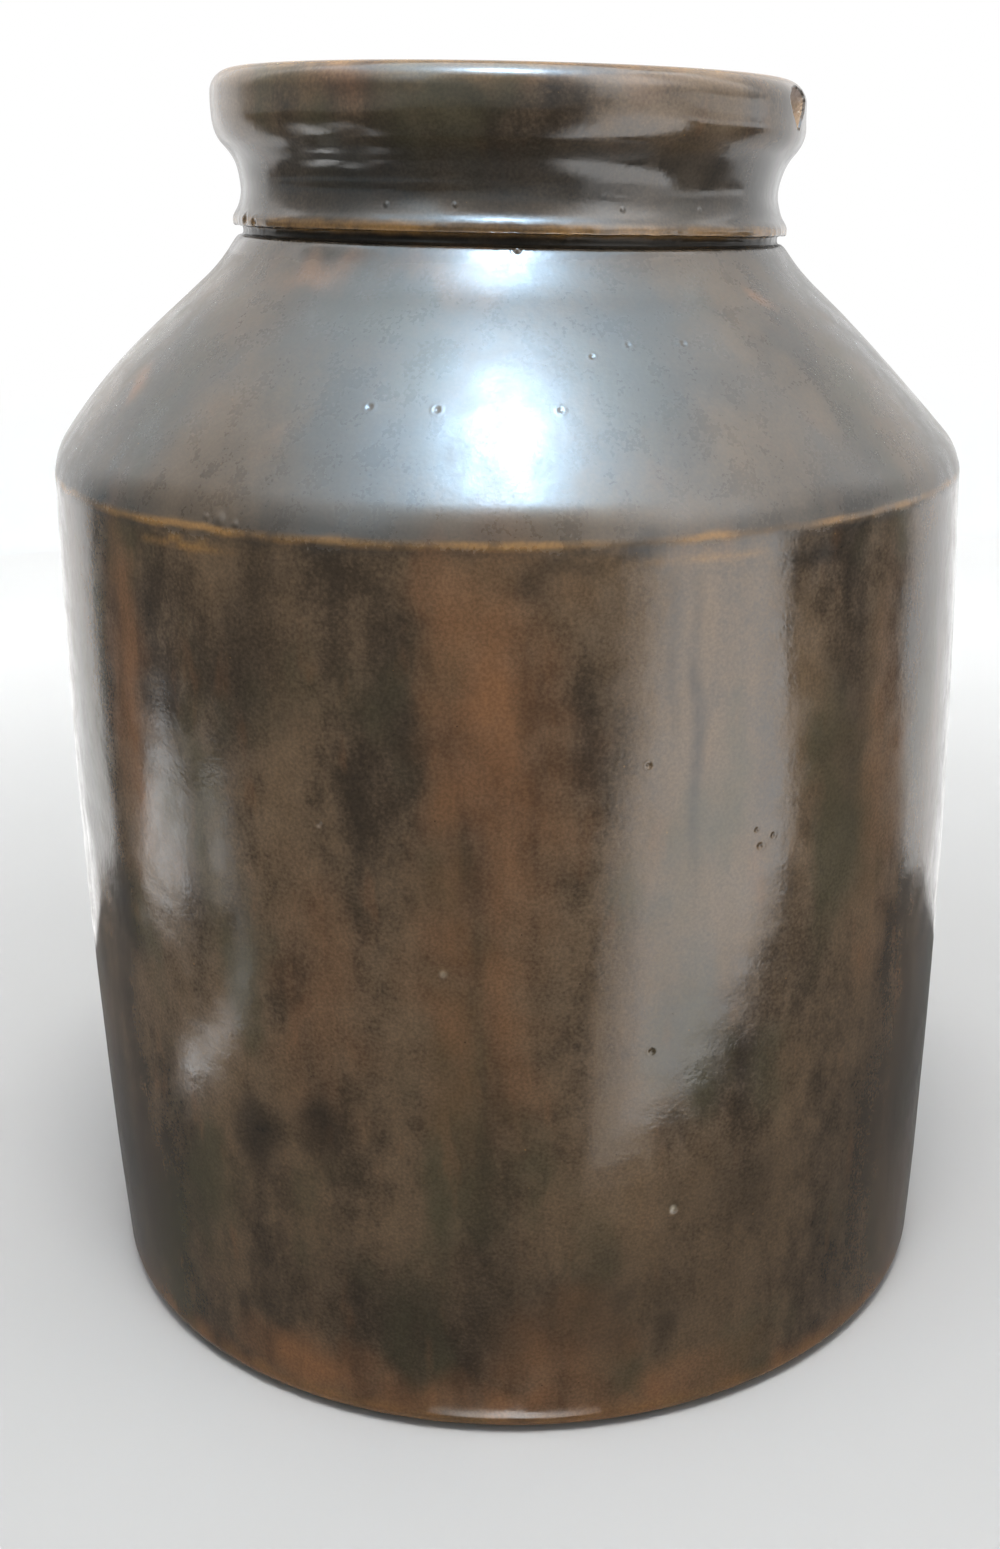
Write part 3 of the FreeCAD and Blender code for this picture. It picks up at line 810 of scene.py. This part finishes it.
DARK = (0.040, 0.027, 0.016, 1)
BROWN = (0.168, 0.107, 0.058, 1)
OLIVE = (0.072, 0.060, 0.030, 1)
SLATE = (0.034, 0.031, 0.026, 1)
RUSTY = (0.250, 0.115, 0.048, 1)
OCHRE = (0.30, 0.155, 0.045, 1)
BLACK = (0.008, 0.007, 0.005, 1)
CREAM = (0.50, 0.42, 0.30, 1)
CLAY = ((0.46, 0.35, 0.22, 1), (0.58, 0.47, 0.32, 1))
TOASTED = (0.22, 0.095, 0.035, 1)
STAINED = (0.25, 0.195, 0.175, 1)
SANDY = (0.66, 0.57, 0.44, 1)
IRON = (0.05, 0.028, 0.018, 1)
SLIP = ((0.27, 0.18, 0.105, 1), (0.36, 0.26, 0.16, 1))
SHOULDER_FROST = 0.13


def glaze(name, marks):
    """Return the mottled brown slip glaze, with its marks where the mesh holds them."""
    paint = Paint(name)
    broad = paint.grain(34, 4, 1.8)
    streaks = paint.grain(9, 4, 7, 3)
    mottle = paint.grain(5, 6, 1.3, 5)
    fine = paint.grain(0.7, 3)
    mixed = paint.total((broad, 0.45), (streaks, 0.20), (mottle, 0.20), (fine, 0.15))
    colour = paint.mix(paint.ramp(mixed, 0.38, 0.60), DARK, BROWN)
    olive = paint.ramp(paint.grain(22, 3, 2, 9), 0.50, 0.68, 0, 0.8)
    colour = paint.mix(olive, colour, OLIVE)
    flecks = paint.ramp(paint.grain(6, 6, 3, 14), 0.58, 0.74, 0, 0.22)
    colour = paint.mix(flecks, colour, RUSTY)
    if marks:
        upper = paint.sum("MULTIPLY", paint.marked("upper"), paint.ramp(broad, 0.3, 0.6, 0.9, 0.6))
        colour = paint.mix(upper, colour, SLATE)
        rust = paint.sum("MULTIPLY", paint.marked("rust"), paint.ramp(streaks, 0.32, 0.62, 0.35, 1))
        colour = paint.mix(rust, colour, RUSTY)
        # Pooled glaze turns black. The same black in the groove under the lip and low on the front
        # wall is painted shade.
        pooled = paint.sum("MULTIPLY", paint.marked("pooled"), paint.ramp(mottle, 0.3, 0.6, 0.6, 1))
        colour = paint.mix(pooled, colour, BLACK)
        # Thin glaze shows ochre on the edges. Along the foot this ochre is a painted reflection.
        thin = paint.sum("MULTIPLY", paint.marked("thin"), paint.ramp(mottle, 0.34, 0.56, 0.45, 1))
        colour = paint.mix(thin, colour, OCHRE)
        colour = paint.mix(paint.marked("bare"), colour, CREAM)
        # Almost no specular in the groove under the lip, as painted shade.
        paint.surface(Specular_IOR_Level=paint.ramp(paint.marked("dull"), 0, 1, 0.5, 0.08))
    pale = paint.sum("MAXIMUM", paint.specks(6, 0.22, 0.30), paint.specks(2.2, 0.10, 0.12))
    colour = paint.mix(paint.sum("MULTIPLY", pale, 0.55), colour, OCHRE)
    colour = paint.mix(paint.sum("MULTIPLY", paint.specks(3.4, 0.16, 0.25), 0.7), colour, BLACK)
    colour = paint.shade(colour, paint.ramp(paint.grain(0.55, 2, 1, 21), 0.30, 0.70, 0.86, 1.14))
    gloss = paint.ramp(paint.total((mottle, 1), (fine, 0.5)), 0.50, 1.00, 0.11, 0.24)
    if marks:
        frost = paint.ramp(paint.height(), (SEAT - 1) * MM, SEAT * MM, SHOULDER_FROST, 0)
        gloss = paint.total((paint.sum("MULTIPLY", paint.marked("upper"), frost), 1), (gloss, 1))
    pinholes = paint.sum("SUBTRACT", 1, paint.specks(3, 0.14, 0.18))
    relief = paint.total((paint.grain(1.6, 2), 0.6), (fine, 0.35), (pinholes, 0.5))
    paint.surface(Base_Color=colour, Roughness=gloss, IOR=1.52, Normal=paint.bump(relief, 0.04))
    return paint.material


def bare_clay():
    """Return the bare clay of the foot and of the chip, gritty and toasted near the glaze."""
    paint = Paint("bare_clay")
    grit = paint.grain(0.5, 5)
    cloud = paint.grain(14, 4)
    colour = paint.mix(paint.ramp(cloud, 0.35, 0.65), *CLAY)
    height = paint.height()
    colour = paint.mix(paint.ramp(height, 0, BARE_HEIGHT * MM, 0, 0.6), colour, TOASTED)
    stain = paint.ramp(height, CHIP_HEIGHT * MM - 0.0005, CHIP_HEIGHT * MM + 0.0025, 0, 0.7)
    colour = paint.mix(stain, colour, STAINED)
    colour = paint.mix(paint.ramp(grit, 0.60, 0.72, 0, 0.5), colour, SANDY)
    colour = paint.mix(paint.specks(1.6, 0.13, 0.35), colour, IRON)
    paint.surface(Base_Color=colour, Roughness=paint.ramp(grit, 0.3, 0.7, 0.72, 0.92))
    paint.surface(Normal=paint.bump(grit, 0.12))
    return paint.material


def joining_slip():
    """Return the slip of the two joints, smoother and a little darker than the clay."""
    paint = Paint("joining_slip")
    drawn = paint.grain(1.2, 4, 0.4)
    colour = paint.mix(paint.ramp(drawn, 0.35, 0.65), *SLIP)
    paint.surface(Base_Color=colour, Roughness=paint.ramp(drawn, 0.3, 0.7, 0.68, 0.85))
    paint.surface(Normal=paint.bump(drawn, 0.06))
    return paint.material


# Pieces

PIECE_ENDINGS = {
    "stoneware_clay": "clay",
    "joining_slip": "slip",
    "outer_slip_glaze": "coat",
    "inner_slip_glaze": "coat",
}


def finish_piece(name, mesh, material, slot):
    """Make an object of a mesh that stands for the CAD node of the same name."""
    mesh.materials.clear()
    mesh.materials.append(material)
    mesh.shade_smooth()
    mesh.set_sharp_from_angle(angle=SHARP_ANGLE)
    piece = added(f"{name}_{PIECE_ENDINGS[slot]}", mesh)
    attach(piece, "root")
    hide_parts(name)


def chip_cutter():
    """Return a rough teardrop that takes the chip out of the rim."""
    work = bmesh.new()
    bmesh.ops.create_icosphere(work, subdivisions=6, radius=1)
    turn = math.radians(CHIP_AZIMUTH)
    reach = RIM_RADIUS + CHIP_OFFSET
    middle = Vector((reach * math.sin(turn) + NECK_SHIFT, -reach * math.cos(turn), CHIP_HEIGHT))
    outward = Vector((math.sin(turn), -math.cos(turn), 0))
    sideways = Vector((math.cos(turn), math.sin(turn), 0))
    for vert in work.verts:
        place = vert.co.copy()
        steps = noise.noise(place * 2.2) * CHIP_STEPS + abs(noise.noise(place * 5)) * CHIP_STEPS
        grit = noise.noise(place * 16) * CHIP_GRIT
        narrow = 0.30 + 0.70 * min(1, max(0, (place.z + 1) / 1.3))
        deep = place.x * CHIP_HALF[0] + math.copysign(1, place.x) * (steps * 0.5 + grit)
        wide = place.y * CHIP_HALF[1] * narrow * (1 + 0.2 * steps)
        high = place.z * CHIP_HALF[2] * (1 + 0.12 * noise.noise(place * 3.1))
        vert.co = (middle + outward * deep + sideways * wide + Vector((0, 0, high))) * MM
    mesh = bpy.data.meshes.new("chip_cutter")
    work.to_mesh(mesh)
    work.free()
    return added("chip_cutter", mesh)


def chipped(mesh, cutter):
    """Return a mesh with the chip taken out of it."""
    body = added("to_chip", mesh)
    cut = body.modifiers.new("chip", "BOOLEAN")
    cut.operation = "DIFFERENCE"
    cut.solver = "MANIFOLD"
    cut.object = cutter
    graph = bpy.context.evaluated_depsgraph_get()
    made = bpy.data.meshes.new_from_object(body.evaluated_get(graph))
    bpy.data.objects.remove(body)
    return made


def mark(mesh):
    """Give a glazed mesh its marks: rust, pooled glaze, thin glaze on edges, bare flecks, and
    painted shade and reflection.
    """
    azimuth, height = untilted(vertex_places(mesh))
    ragged = wavering(azimuth, height, 5, 61)
    coarse = wavering(azimuth, height * 0.2, 12, 71)
    ridge = bell((height - RIDGE_BREAK - 0.4 * ragged) / 1) * np.clip(0.80 + 1.1 * coarse, 0.2, 1)
    second = np.zeros(len(azimuth))
    for degrees, half_width in SECOND_EDGE_AT:
        second = np.maximum(second, bell(apart(azimuth, degrees) / math.radians(half_width)))
    second *= 0.9 * bell((height - SECOND_EDGE - 1.2 * ragged) / 0.9)
    # A lighter ochre band along the foot: a painted reflection, not thin glaze.
    painted_foot_reflection = 0.4 * (1 - smooth(2, 6, height + 1.5 * ragged))
    lip = (0.75 + 0.4 * coarse) * bell((height - LIP_HEIGHT - 0.5 - 0.3 * ragged) / 1.6)
    crest = 0.7 * smooth(RIM_TOP - 1.2, RIM_TOP + 0.2, height + 0.6 * ragged)
    foot = 0.90 * (1 - smooth(2, 9, height + 2.0 * ragged))
    # The groove under the lip is painted black with almost no specular: painted shade of the recess.
    groove_shade = smooth(SEAT + 0.25, SEAT + 0.50, height + 0.1 * ragged)
    groove_shade *= 1 - smooth(LIP_HEIGHT - 0.6, LIP_HEIGHT - 0.1, height + 0.2 * ragged)
    bare = np.zeros(len(azimuth))
    for degrees, level, size, share in BARE_FLECKS:
        away = np.hypot(apart(azimuth, degrees) * BELLY_RADIUS, height - level)
        bare = np.maximum(bare, share * bell(away / size))
    marks = {
        "rust": np.maximum(patches(azimuth, height, RUST), foot),
        "pooled": np.maximum(patches(azimuth, height, POOLED_AND_SHADED), 0.8 * groove_shade),
        "thin": np.maximum.reduce([ridge, second, lip, crest, painted_foot_reflection]),
        "upper": smooth(*UPPER_START, height + ragged) * (1 - smooth(*UPPER_END, height)),
        "bare": bare,
        "dull": groove_shade,
    }
    for name, strength in marks.items():
        set_attribute(mesh, name, np.clip(strength, 0, 1))


def clay_ring(low, high):
    """Return the ring of the pot's wall between two heights."""
    outside = rows(CLAY_OUTSIDE.between(low, high), OUTER)
    return Turned(outside + rows(CLAY_INSIDE.between(high, low), INNER), HIDDEN_COLUMNS)


def lower_body():
    """Return the thrown base and wall, with the marks of the cutting string under it."""
    underside = Track()
    underside.add(0, 0, DOWN)
    underside.line(BASE_CENTRE[0], 0, DOWN, WALL_STEP)
    outline = rows(underside.points[:-1], UNDER)
    outline += rows(CLAY_OUTSIDE.until(JOINT_FOOT), OUTER)
    outline += rows(CLAY_INSIDE.since(JOINT_FOOT), INNER)
    return Turned(outline, COLUMNS // 2)


def neck_and_rim():
    """Return the thrown neck, its foot lip and its rolled rim."""
    outside = rows(CLAY_OUTSIDE.since(NECK_FOOT), OUTER)
    return Turned(outside + rows(CLAY_INSIDE.until(NECK_FOOT)[1:], INNER), HIDDEN_COLUMNS)


def outer_glaze():
    """Return the coat over the outside, from the bare foot to the crest of the rim."""
    hidden = outside_track(0, GLAZE_START, HIDDEN_STEP, FINE_STEP)
    outline = rows(VISIBLE_TRACK.points, OUTER, 1) + rows(hidden.points[::-1], OUTER)
    coat = Turned(outline, COLUMNS)
    spots = [on_surface(degrees, level) for degrees, level, _, _ in PITS]
    coat.refine(spots, PIT_REACH, PIT_CUTS)
    return coat


def inner_glaze():
    """Return the coat over the inside, from the crest of the rim to the middle of the floor."""
    shown = inside_track(COAT, INSIDE_STEP, FINE_STEP)
    outline = rows(shown.points, INNER) + rows(CLAY_INSIDE.points[::-1], INNER)
    return Turned(outline, INSIDE_COLUMNS)


def crock():
    """Make the seven pieces of the pot."""
    clay = bare_clay()
    slip = joining_slip()
    cutter = chip_cutter()
    turned = {
        "lower_body": (lower_body(), clay, "stoneware_clay"),
        "shoulder_luting": (clay_ring(JOINT_FOOT, JOINT_TOP), slip, "joining_slip"),
        "shoulder_section": (clay_ring(JOINT_TOP, SEAT), clay, "stoneware_clay"),
        "neck_luting": (clay_ring(SEAT, NECK_FOOT), slip, "joining_slip"),
        "neck_and_rim": (neck_and_rim(), clay, "stoneware_clay"),
        "outer_glaze": (outer_glaze(), glaze("outer_glaze", True), "outer_slip_glaze"),
        "inner_glaze": (inner_glaze(), glaze("inner_glaze", False), "inner_slip_glaze"),
    }
    for name, (piece, material, slot) in turned.items():
        piece.settle()
        mesh = piece.mesh
        if name in ("neck_and_rim", "outer_glaze"):
            mesh = chipped(mesh, cutter)
        if name == "outer_glaze":
            mark(mesh)
        finish_piece(name, mesh, material, slot)
    bpy.data.objects.remove(cutter)


# Stage: a pale floor with a white backdrop curving up behind it

FLOOR_HALF = 4.0
FLOOR_FAR = (0.15, 0.60)
FLOOR_LIFT = 1.80
BACKDROP_NEAR = 0.75
BACKDROP_FAR = 1.00
BACKDROP_HIGH = 2.0
BACKDROP_HALF_ANGLE = 56.0
BACKDROP_FADE = 0.08
BACKDROP_SUNK = 0.0005
BACKDROP_STEPS = 16
BACKDROP_COLUMNS = 48


def stage_mesh(name, lines, material):
    """Add a mesh that belongs to the stage, from lines with the same number of points."""
    count = len(lines[0])
    faces = []
    for row in range(len(lines) - 1):
        for first in range(row * count, row * count + count - 1):
            faces.append((first, first + 1, first + count + 1, first + count))
    mesh = bpy.data.meshes.new(name)
    mesh.from_pydata([point[:3] for line in lines for point in line], [], faces)
    mesh.materials.append(material)
    mesh.shade_smooth()
    made = added(name, mesh)
    return made


def floor_paint():
    """Return a plain pale floor, lighter far off, where less light falls on it."""
    paint = Paint("pale_floor")
    cloud = paint.grain(220, 2)
    colour = paint.mix(paint.ramp(cloud, 0.3, 0.7), (0.50, 0.49, 0.48, 1), (0.52, 0.51, 0.50, 1))
    away = paint.node("ShaderNodeVectorMath", {0: paint.place}, operation="LENGTH").outputs["Value"]
    colour = paint.shade(colour, paint.ramp(away, *FLOOR_FAR, 1, FLOOR_LIFT))
    paint.surface(Base_Color=colour, Roughness=0.9)
    return paint.material


def backdrop_paint():
    """Return a backdrop that looks white and rises out of the floor's own tone."""
    paint = Paint("white_backdrop")
    paint.surface(Base_Color=(0.92, 0.91, 0.90, 1), Roughness=0.9)
    glow = paint.node("ShaderNodeEmission", {"Strength": 1.0})
    share = paint.sum("MULTIPLY", paint.ramp(paint.height(), 0, BACKDROP_FADE), paint.shown())
    both = paint.node(
        "ShaderNodeMixShader", {0: share, 1: paint.shader.outputs[0], 2: glow.outputs[0]})
    paint.give(paint.output.inputs["Surface"], both.outputs[0])
    return paint.material


def stage():
    """Add the floor and the backdrop."""
    half = FLOOR_HALF
    stage_mesh("floor", [[(-half, y, 0), (half, y, 0)] for y in (-half, half)], floor_paint())
    depth = BACKDROP_FAR - BACKDROP_NEAR
    section = []
    for index in range(BACKDROP_STEPS + 1):
        turn = index / BACKDROP_STEPS * math.pi / 2
        section.append((BACKDROP_NEAR + depth * math.sin(turn), depth * (1 - math.cos(turn))))
    section.append((BACKDROP_FAR, BACKDROP_HIGH))
    lines = []
    for index in range(BACKDROP_COLUMNS + 1):
        turn = math.radians(BACKDROP_HALF_ANGLE) * (2 * index / BACKDROP_COLUMNS - 1)
        lines.append([
            (across * math.sin(turn), across * math.cos(turn), height - BACKDROP_SUNK)
            for across, height in section])
    stage_mesh("backdrop", lines, backdrop_paint())


# Lamps, which gloss doesn't show: shape, place, the point that each faces, width and height in
# metres, and radiance

LAMPS = {
    "overhead": ("RECTANGLE", (0, -0.10, 1.15), (0, -0.05, 0.15), (1.6, 0.7), 1.7),
    "glow": ("DISK", (0, -0.26, 1.20), (0, 0, 0.15), (0.62, 0.62), 4.6),
    "key": ("DISK", (0.011, -0.310, 1.10), (0, 0, 0.15), (0.30, 0.30), 25),
}

# What gloss shows in place of the lamps: a round glow, given by radii in metres with their shares of
# its radiance

HALO_PLACE = (0.005, -0.372)
HALO_HEIGHT = 1.10
HALO_SHINE = 150.0
HALO_TINT = (0.50, 0.74, 1, 1)
HALO = [
    (0.001, 1), (0.05, 1), (0.09, 0.42), (0.14, 0.18), (0.20, 0.09), (0.27, 0.05), (0.33, 0.032),
    (0.40, 0.020), (0.50, 0.010), (0.60, 0.004), (0.75, 0),
]

# Parts of the studio's walls that gloss shows brighter or darker: their radiance, and lines, each
# with its rise in degrees, the turns of its points from the front, and their shares of the radiance

WALL_REACH = 2.6
WALL_EYE = 0.19
LEFT_TURNS = (-44, -60, -85, -108, -120)
FRONT_TURNS = (-30, -15, 0, 15, 30)
RIGHT_TURNS = (30, 40, 60, 72, 84, 98, 116)
WALLS = {
    "window_right": (7.4, [
        (3, RIGHT_TURNS, (0.30, 0.50, 0.20, 0.16, 0.12, 0.11, 0.11)),
        (14, RIGHT_TURNS, (0.40, 0.60, 0.28, 0.26, 0.20, 0.20, 0.25)),
        (28, RIGHT_TURNS, (0.45, 0.80, 0.70, 0.40, 0.24, 0.30, 0.45)),
        (44, (30, 40, 62, 74, 86, 98, 116), (0.50, 0.85, 0.80, 0.48, 0.34, 0.34, 0.55)),
        (58, (30, 40, 64, 76, 88, 98, 116), (0.55, 0.60, 0.52, 0.40, 0.40, 0.46, 0.60)),
    ]),
    "shade_front": (1, [
        (12, FRONT_TURNS, (1.2, 0.9, 0.8, 0.9, 1.4)),
        (30, FRONT_TURNS, (2.4, 1.2, 1, 1.2, 2.6)),
        (46, FRONT_TURNS, (3.8, 1.8, 1.4, 1.8, 3.7)),
        (54, FRONT_TURNS, (4.2, 3.6, 3.4, 3.6, 4.1)),
    ]),
    "shade_left": (1, [
        (5, LEFT_TURNS, (0.6, 0.7, 0.5, 0.5, 0.6)),
        (22, LEFT_TURNS, (2, 1.2, 0.6, 0.7, 2.2)),
        (38, LEFT_TURNS, (3.4, 2.2, 0.9, 1, 3.6)),
        (47, LEFT_TURNS, (4.2, 3.7, 1.7, 2, 4.2)),
        (54, LEFT_TURNS, (4.4, 4.5, 3.1, 4, 4.4)),
    ]),
}

# Reflector panels, which show only in gloss. Those that stand have their radiance, their height and
# the points along their foot, and those that lie flat their radiance, their height off the floor and
# lines of points. Each point is a place in metres with its share of the radiance.

STANDING_PANELS = {
    "edge_left": (1.6, 0.6, [(-0.33, 0.13, 1), (-0.11, 0.13, 1)]),
    "edge_right": (1.5, 0.6, [(0.11, 0.13, 1), (0.44, 0.13, 1)]),
    "far_right": (2.4, 0.7, [(1.4, -2.6, 0.3), (2.5, -1, 1), (2.7, 0.6, 1), (2.3, 1.6, 1)]),
}
LYING_PANELS = {
    "foot_right": (1.5, 0.002, [
        [(0.72, 0.21, 1), (0.72, 0.40, 1)],
        [(0.505, 0.14, 1), (0.505, 0.30, 1)],
        [(0.365, 0.095, 1), (0.365, 0.20, 1)],
        [(0.295, 0.07, 1), (0.235, 0.13, 1)],
    ]),
    "low_right": (4, 0.002, [
        [(0.035, -0.165, 0.3), (0.08, -0.175, 0.9), (0.322, -0.168, 1)],
        [(0.13, -0.38, 0.2), (0.20, -0.37, 0.9), (0.56, -0.255, 1)],
        [(1.45, -2.60, 0.2), (1.75, -2.30, 0.9), (2.55, -1.07, 1)],
    ]),
    "low_left": (3.4, 0.002, [
        [(-0.306, -0.062, 0.7), (-0.297, -0.028, 1.1), (-0.310, 0.014, 1.1)],
        [(-0.40, -0.072, 0.6), (-0.40, -0.025, 1), (-0.40, 0.024, 1)],
        [(-0.50, -0.040, 0.4), (-0.50, -0.010, 0.8), (-0.50, 0.020, 0.8)],
        [(-0.57, -0.012, 0.3), (-0.575, 0.000, 0.5), (-0.58, 0.012, 0.5)],
    ]),
    "low_left_inner": (3, 0.002, [
        [(-0.292, -0.152, 0.6), (-0.305, -0.125, 0.8), (-0.315, -0.092, 0.7)],
        [(-0.355, -0.170, 0.5), (-0.355, -0.135, 0.8), (-0.360, -0.092, 0.5)],
        [(-0.425, -0.185, 0.5), (-0.440, -0.140, 0.9), (-0.435, -0.098, 0.5)],
    ]),
    "ribbon_left": (1.9, 0.002, [
        [(-0.288, -0.158, 0.4), (-0.245, -0.155, 0.8), (-0.203, -0.125, 0.9), (-0.182, -0.085, 1.4),
         (-0.173, -0.045, 2)],
        [(-0.303, -0.142, 0.4), (-0.262, -0.137, 0.8), (-0.223, -0.113, 0.9), (-0.200, -0.070, 1.4),
         (-0.187, -0.038, 2.6)],
    ]),
    "glint": (7, 0.001, [
        [(-0.020, -0.0895, 0.1), (-0.003, -0.0914, 1), (0.016, -0.0900, 0.1)],
        [(-0.020, -0.0915, 0.1), (-0.003, -0.0935, 1), (0.016, -0.0921, 0.1)],
    ]),
}

# A dark card round the foot, which only gloss shows: its radii, its height and its radiance

CARD = (0.088, 3.9)
CARD_HEIGHT = 0.0006
CARD_SHINE = 0.18
RING_CORNERS = 96

# The surround: its plain light, what gloss sees of it below and above, and what the camera sees

SURROUND_TINT = (0.78, 0.91, 1, 1)
SURROUND_LIGHT = 0.32
SURROUND_LOW = 0.60
SURROUND_HIGH = 4.4
SURROUND_RISE = (0.02, 0.60)
SURROUND_LEAN = 0.06
SURROUND_SEEN = 1.3


def lamp(name, shape, place, target, size, radiance):
    """Add a soft lamp that faces a point, and that gloss doesn't show."""
    light = bpy.data.lights.new(name, "AREA")
    light.shape = shape
    light.size = size[0]
    light.size_y = size[1]
    round_share = math.pi / 4 if shape == "DISK" else 1.0
    light.energy = radiance * math.pi * size[0] * size[1] * round_share
    made = added(name, light)
    made.location = place
    made.rotation_mode = "QUATERNION"
    made.rotation_quaternion = (Vector(place) - Vector(target)).to_track_quat("Z", "Y")
    made.visible_camera = False
    made.visible_glossy = False


def reflector(name, radiance, lines, clear_tint=None):
    """Add a panel that only gloss shows. With a tint it is clear, and adds to what lies behind."""
    paint = Paint(name)
    strength = paint.sum("MULTIPLY", paint.marked("share"), radiance)
    shown = paint.node("ShaderNodeEmission", {"Strength": strength})
    if clear_tint:
        shown.inputs["Color"].default_value = clear_tint
        clear = paint.node("ShaderNodeBsdfTransparent")
        shown = paint.node("ShaderNodeAddShader", {0: shown.outputs[0], 1: clear.outputs[0]})
    paint.give(paint.output.inputs["Surface"], shown.outputs[0])
    panel = stage_mesh(name, lines, paint.material)
    set_attribute(panel.data, "share", [point[3] for line in lines for point in line])
    panel.visible_camera = False
    panel.visible_diffuse = False
    panel.visible_shadow = False


def surround():
    """Light the scene evenly, and show gloss a ceiling that is brighter than the walls."""
    world = bpy.data.worlds.new("surround")
    world.use_nodes = True
    nodes = Nodes(world.node_tree)
    direction = nodes.node("ShaderNodeTexCoord").outputs["Generated"]
    parts = nodes.node("ShaderNodeSeparateXYZ", {0: direction}).outputs
    ceiling = nodes.ramp(parts["Z"], *SURROUND_RISE, SURROUND_LOW, SURROUND_HIGH)
    leaning = nodes.line(parts["X"], 1 - SURROUND_LEAN, 1 + SURROUND_LEAN, -1)
    strength = nodes.line(
        nodes.shown(), SURROUND_LIGHT, nodes.sum("MULTIPLY", ceiling, leaning))
    to_camera = nodes.node("ShaderNodeLightPath").outputs["Is Camera Ray"]
    ground = next(n for n in nodes.tree.nodes if n.type == "BACKGROUND")
    nodes.give(ground.inputs["Color"], SURROUND_TINT)
    nodes.give(ground.inputs["Strength"], nodes.line(to_camera, strength, SURROUND_SEEN))
    bpy.context.scene.world = world


def ring(radius, middle, height, share):
    """Return the points of a closed ring, for a reflector panel that is even all round."""
    found = []
    for index in range(RING_CORNERS + 1):
        turn = math.tau * index / RING_CORNERS
        found.append((
            middle[0] + radius * math.sin(turn), middle[1] - radius * math.cos(turn), height, share))
    return found


def on_wall(rise, turns, shares):
    """Return a line of points on the studio's wall, with their shares."""
    height = WALL_EYE + WALL_REACH * math.tan(math.radians(rise))
    line = []
    for turn, share in zip(map(math.radians, turns), shares):
        line.append((WALL_REACH * math.sin(turn), -WALL_REACH * math.cos(turn), height, share))
    return line


def at_level(height, line):
    """Return a panel's line of points at a height."""
    return [(x, y, height, share) for x, y, share in line]


def lights():
    """Add the lamps, what gloss shows of the studio, and the surround."""
    for name, settings in LAMPS.items():
        lamp(name, *settings)
    for name, (radiance, top, foot) in STANDING_PANELS.items():
        reflector(name, radiance, [at_level(0, foot), at_level(top, foot)])
    for name, (radiance, height, lines) in LYING_PANELS.items():
        reflector(name, radiance, [at_level(height, line) for line in lines])
    for name, (radiance, lines) in WALLS.items():
        reflector(name, radiance, [on_wall(*line) for line in lines])
    halo = [ring(radius, HALO_PLACE, HALO_HEIGHT, share) for radius, share in HALO]
    reflector("halo", HALO_SHINE, halo, HALO_TINT)
    card = [ring(radius, (0, 0), CARD_HEIGHT, 1) for radius in CARD]
    reflector("dark_card", CARD_SHINE, card)
    surround()


# Camera: the photograph's place, downward pitch and slight roll

PHOTO_HEIGHT = 1549
FOCAL_PIXELS = 1850.0
CAMERA_PLACE = (-0.0025, -0.3794, 0.2345)
CAMERA_PITCH = math.radians(19.26)
CAMERA_ROLL = 0.0171


def camera():
    """Add the camera."""
    data = bpy.data.cameras.new("camera")
    data.lens = data.sensor_width * FOCAL_PIXELS / PHOTO_HEIGHT
    data.clip_start = 0.01
    made = added("camera", data)
    made.location = CAMERA_PLACE
    made.rotation_mode = "QUATERNION"
    level = Euler((math.pi / 2 - CAMERA_PITCH, 0, 0)).to_quaternion()
    made.rotation_quaternion = level @ Quaternion((0, 0, 1), -CAMERA_ROLL)
    bpy.context.scene.camera = made


bpy.context.scene.view_settings.view_transform = "Standard"
crock()
stage()
lights()
camera()
